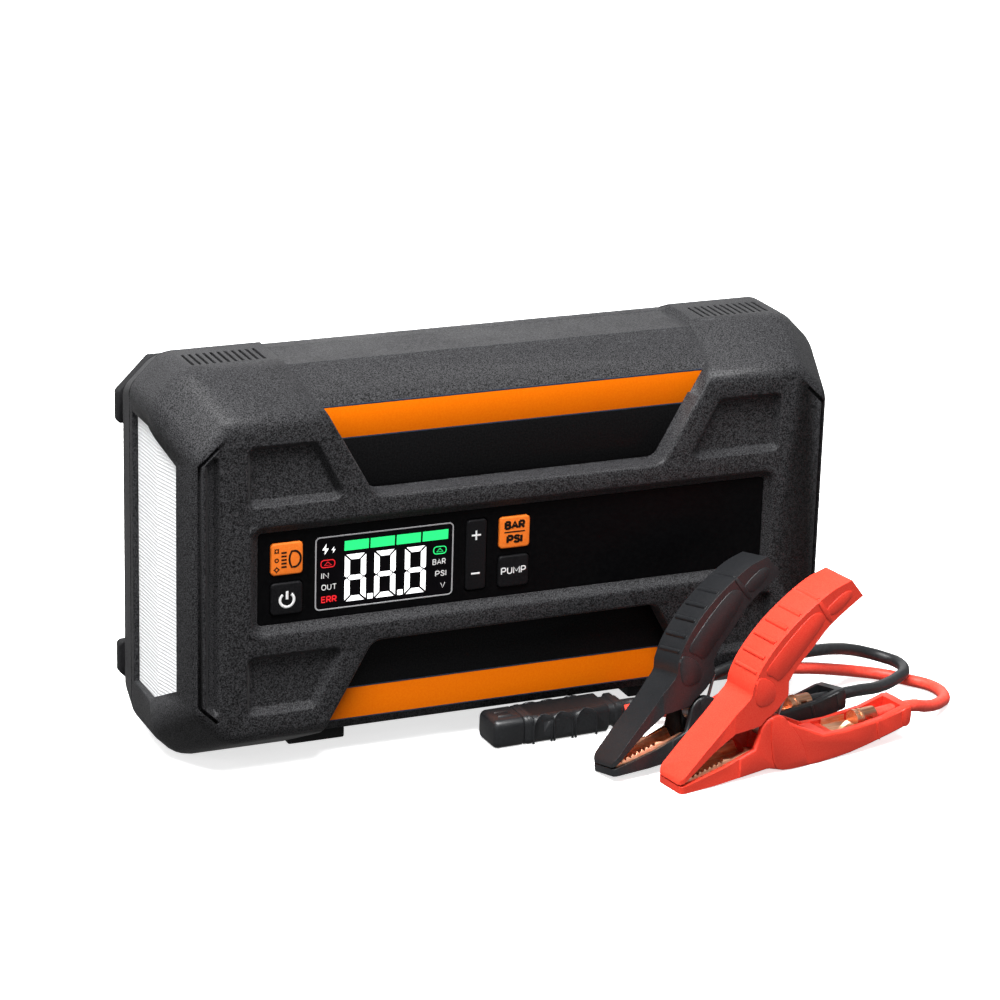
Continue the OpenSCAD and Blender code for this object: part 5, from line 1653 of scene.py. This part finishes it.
@dataclass
class PanelPrint:
    """What is printed on the panel and its keys, and what the display shows."""

    film_y: float = 2.5
    key_y: float = 1.7
    rocker_y: float = 2.0
    lift: float = 0.03
    frame_low: Flat = (-74.15, -13.35)
    frame_high: Flat = (-24.15, 12.6)
    digit_lefts: tuple[float, ...] = (-63.7, -52.9, -41.75)
    digit_low: float = -11.35
    digit_size: Flat = (7.75, 16.9)
    stroke: float = 1.9
    stroke_gap: float = 0.55
    word_pen: float = 0.3
    mark_pen: float = 0.32
    sign_pen: float = 0.95
    rocker_pen: float = 0.66

    def build(self) -> None:
        """Make the keys, the prints and the lit segments."""
        for node, body, finish, face in (
                ("light_button", "light_key", KEY_ORANGE, self.key_y),
                ("unit_button", "unit_key", KEY_ORANGE, self.key_y),
                ("power_button", "power_key", KEY_BLACK, self.key_y),
                ("pump_button", "pump_key", KEY_BLACK, self.key_y),
                ("adjust_rocker", "rocker", KEY_BLACK, self.rocker_y)):
            key = shape_of_node(node, f"{node}_moulding", CASE_PLACE.inverted())
            key.soften(0.55, 25.0, 4, lambda a, b, y=face: max(a.y, b.y) < y + 0.05)
            key.piece(finish, body, CASE_PLACE, 35.0, [node])
        self._display()
        self._keys()

    def _polygons(self, name: str, outlines: Sequence[Sequence[Flat]], y: float,
                  finish: Finish, body: str = "case") -> bpy.types.Object:
        """Make thin flat plates on a front face.

        Args:
            name: The piece's name.
            outlines: One outline for each plate, in the XZ plane.
            y: The face they lie on.
            finish: Their surface.
            body: The body they ride on.

        Returns:
            The piece.
        """
        shape = Shape(name)
        for outline in outlines:
            shape.prism(outline, y - self.lift, y + 0.02, Plane.XZ)
        return shape.tidy().piece(finish, body, CASE_PLACE)

    def _segments(self, left: float) -> list[list[Flat]]:
        """Draw the seven lit strokes of one digit.

        Args:
            left: The digit's left side.

        Returns:
            One outline for each stroke.
        """
        w, h = self.digit_size
        t, c = self.stroke, self.stroke_gap
        x, z, half = left, self.digit_low, h / 2
        top = [(x + c, z + h), (x + w - c, z + h), (x + w - t - c, z + h - t),
               (x + t + c, z + h - t)]
        low = [(px, 2 * z + h - pz) for px, pz in reversed(top)]
        mid = [(x + t * 0.62, z + half), (x + t + 0.1, z + half + t * 0.46),
               (x + w - t - 0.1, z + half + t * 0.46), (x + w - t * 0.62, z + half),
               (x + w - t - 0.1, z + half - t * 0.46), (x + t + 0.1, z + half - t * 0.46)]
        upper_left = [(x, z + h - 0.45), (x, z + half + 0.75), (x + t * 0.4, z + half + 0.22),
                      (x + t, z + half + t * 0.5 + 0.2), (x + t, z + h - t - 0.3)]
        upper_right = [(2 * x + w - px, pz) for px, pz in reversed(upper_left)]
        lower_left = [(px, 2 * z + h - pz) for px, pz in reversed(upper_left)]
        lower_right = [(2 * x + w - px, pz) for px, pz in reversed(lower_left)]
        return [top, mid, low, upper_left, upper_right, lower_left, lower_right]

    @staticmethod
    def _bolt(x: float, z: float, size: float) -> list[Flat]:
        """Draw a lightning bolt.

        Args:
            x: Its middle, from left to right.
            z: Its middle, from the bottom up.
            size: Half its height.

        Returns:
            Its outline.
        """
        half = [(0.18, 1.0), (-0.62, -0.12), (-0.06, -0.12)]
        outline = half + [(-px, -pz) for px, pz in half]
        return [(x + px * size, z + pz * size) for px, pz in outline]

    def _display(self) -> None:
        """Make the display's frame line, digits, bars, bolts and words."""
        y = self.film_y
        low, high = self.frame_low, self.frame_high
        edge = [(x, y, z) for x, z in rounded_rect(low, high, 1.5)]
        Shape("display_frame_line").line(edge, 0.5, closed=True).piece(
            INK_GREY, "case", CASE_PLACE)
        strokes = [s for left in self.digit_lefts for s in self._segments(left)]
        dots = [(-55.35, -9.4), (-44.35, -9.4)]
        strokes += [rounded_rect((x, z - 1.95), (x + 2.0, z), 0.2, 2) for x, z in dots]
        strokes += [self._bolt(-70.7, 8.3, 1.9), self._bolt(-67.8, 7.9, 1.2)]
        self._polygons("display_digits", strokes, y, LIT_WHITE)
        bars = [(-63.9, -55.1), (-54.45, -45.65), (-44.95, -36.1), (-35.4, -26.0)]
        green = [[(a, 7.0), (b, 7.0), (b + 0.1, 10.5), (a + 0.1, 10.5)] for a, b in bars]
        self._polygons("display_bars", green, y, LIT_GREEN)
        words = Shape("display_words")
        for text, centre, width in (("IN", (-70.8, -1.15), 2.7), ("OUT", (-69.3, -5.35), 5.6),
                                    ("BAR", (-29.1, -0.95), 4.9), ("PSI", (-28.4, -5.3), 4.1),
                                    ("V", (-27.6, -9.65), 1.9)):
            words.strokes(text, centre, width, 2.1, y - self.lift, self.word_pen)
        words.piece(INK_WHITE, "case", CASE_PLACE)
        fault = Shape("display_fault_words").strokes("ERR", (-69.3, -9.75), 5.7, 2.4,
                                                     y - self.lift, 0.46)
        self._car(fault, (-69.8, 3.1), 5.0, 2.6)
        fault.piece(LIT_RED, "case", CASE_PLACE)
        ready = Shape("display_ready_mark")
        self._car(ready, (-28.9, 3.2), 4.6, 2.6)
        ready.piece(LIT_GREEN, "case", CASE_PLACE)

    def _car(self, shape: Shape, centre: Flat, width: float, height: float) -> None:
        """Draw a small sign of a clamped battery: a rounded frame with a peak in it.

        Args:
            shape: The shape it is added to.
            centre: Its middle.
            width: Its width.
            height: Its height.
        """
        y = self.film_y - self.lift
        x, z = centre
        low, high = (x - width / 2, z - height / 2), (x + width / 2, z + height / 2)
        edge = [(px, y, pz) for px, pz in rounded_rect(low, high, height * 0.4, 4)]
        shape.line(edge, self.mark_pen, closed=True)
        peak = [(x - width * 0.26, z - height * 0.22), (x, z + height * 0.24),
                (x + width * 0.26, z - height * 0.22)]
        shape.line([(px, y, pz) for px, pz in peak], self.mark_pen, closed=True)

    def _keys(self) -> None:
        """Print the signs on the keys."""
        y = self.key_y - self.lift
        lamp = Shape("light_key_sign")
        lens = arc((-82.3, 6.6), 2.9, -78, 78, 10)
        lens = [(-82.3 + (px + 82.3) * 0.85, pz) for px, pz in lens]
        lens = [(-83.1, 9.4), *reversed(lens), (-83.1, 3.8), (-83.7, 5.2), (-83.9, 6.6),
                (-83.7, 8.0)]
        lamp.line([(px, y, pz) for px, pz in lens], 0.75, closed=True)
        for i in range(5):
            z = 9.15 - 1.27 * i
            lamp.line([(-86.8, y, z), (-84.9, y, z)], 0.66)
        for z in (9.95, 6.6, 3.3):
            lamp.line([(px, y, pz) for px, pz in arc((-88.45, z), 0.62, 0, 330, 11)], 0.42,
                      closed=True)
        for z in (9.95, 3.3):
            for turn in range(4):
                a = math.radians(45 + 90 * turn if z > 5 else 90 * turn)
                ray = [(-88.45 + r * math.cos(a), y, z + r * math.sin(a)) for r in (0.8, 1.12)]
                lamp.line(ray, 0.34)
        lamp.piece(INK_BLACK, "light_key", CASE_PLACE)
        power = Shape("power_key_sign")
        ring = arc((-84.65, -7.85), 2.5, 128, 412, 28)
        power.line([(px, y, pz) for px, pz in ring], self.sign_pen)
        power.line([(-84.65, y, -4.7), (-84.65, y, -7.6)], self.sign_pen)
        power.piece(INK_WHITE, "power_key", CASE_PLACE)
        unit = Shape("unit_key_words").strokes("BAR", (-1.45, 9.55), 7.9, 3.3, y, self.sign_pen)
        unit.strokes("PSI", (-1.45, 4.4), 6.1, 3.3, y, self.sign_pen)
        unit.line([(-5.3, y, 7.0), (2.4, y, 7.0)], 0.5)
        unit.piece(INK_BLACK, "unit_key", CASE_PLACE)
        Shape("pump_key_words").strokes("PUMP", (-1.5, -7.1), 9.4, 2.6, y, 0.42).piece(
            INK_WHITE, "pump_key", CASE_PLACE)
        y = self.rocker_y - self.lift
        marks = Shape("rocker_signs")
        for start, end in (((-17.4, y, 7.2), (-14.0, y, 7.2)),
                           ((-15.7, y, 5.5), (-15.7, y, 8.9)),
                           ((-17.3, y, -6.75), (-14.1, y, -6.75))):
            marks.line([start, end], self.rocker_pen)
        marks.piece(INK_WHITE, "rocker", CASE_PLACE)


# ------------------------------------------------------------------ main


def dress_nodes() -> None:
    """Give every CAD node its finish."""
    for finish, names in NODE_FINISHES.items():
        for name in names:
            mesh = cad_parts[name].data
            mesh.materials.clear()
            mesh.materials.append(finish.material())


def main() -> None:
    """Build everything in order."""
    logging.basicConfig(level=logging.INFO, format="%(name)s %(message)s")
    studio = Studio()
    studio.build_camera()
    cords = Cords()
    made = cords.build()
    dress_nodes()
    clamps = {"red": Clamp("red", cords.red, CLAMP_RED).build(),
              "black": Clamp("black", cords.black, CLAMP_BLACK).build()}
    plug = Plug(cords.plug).build()
    CaseShells().build()
    PanelPrint().build()
    studio.build_light()
    studio.build_floor()
    plug.append(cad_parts["plug_contacts"])
    cords.declare({colour: plug + clamps[colour] for colour in ("red", "black")})


if __name__ == "__main__":
    main()
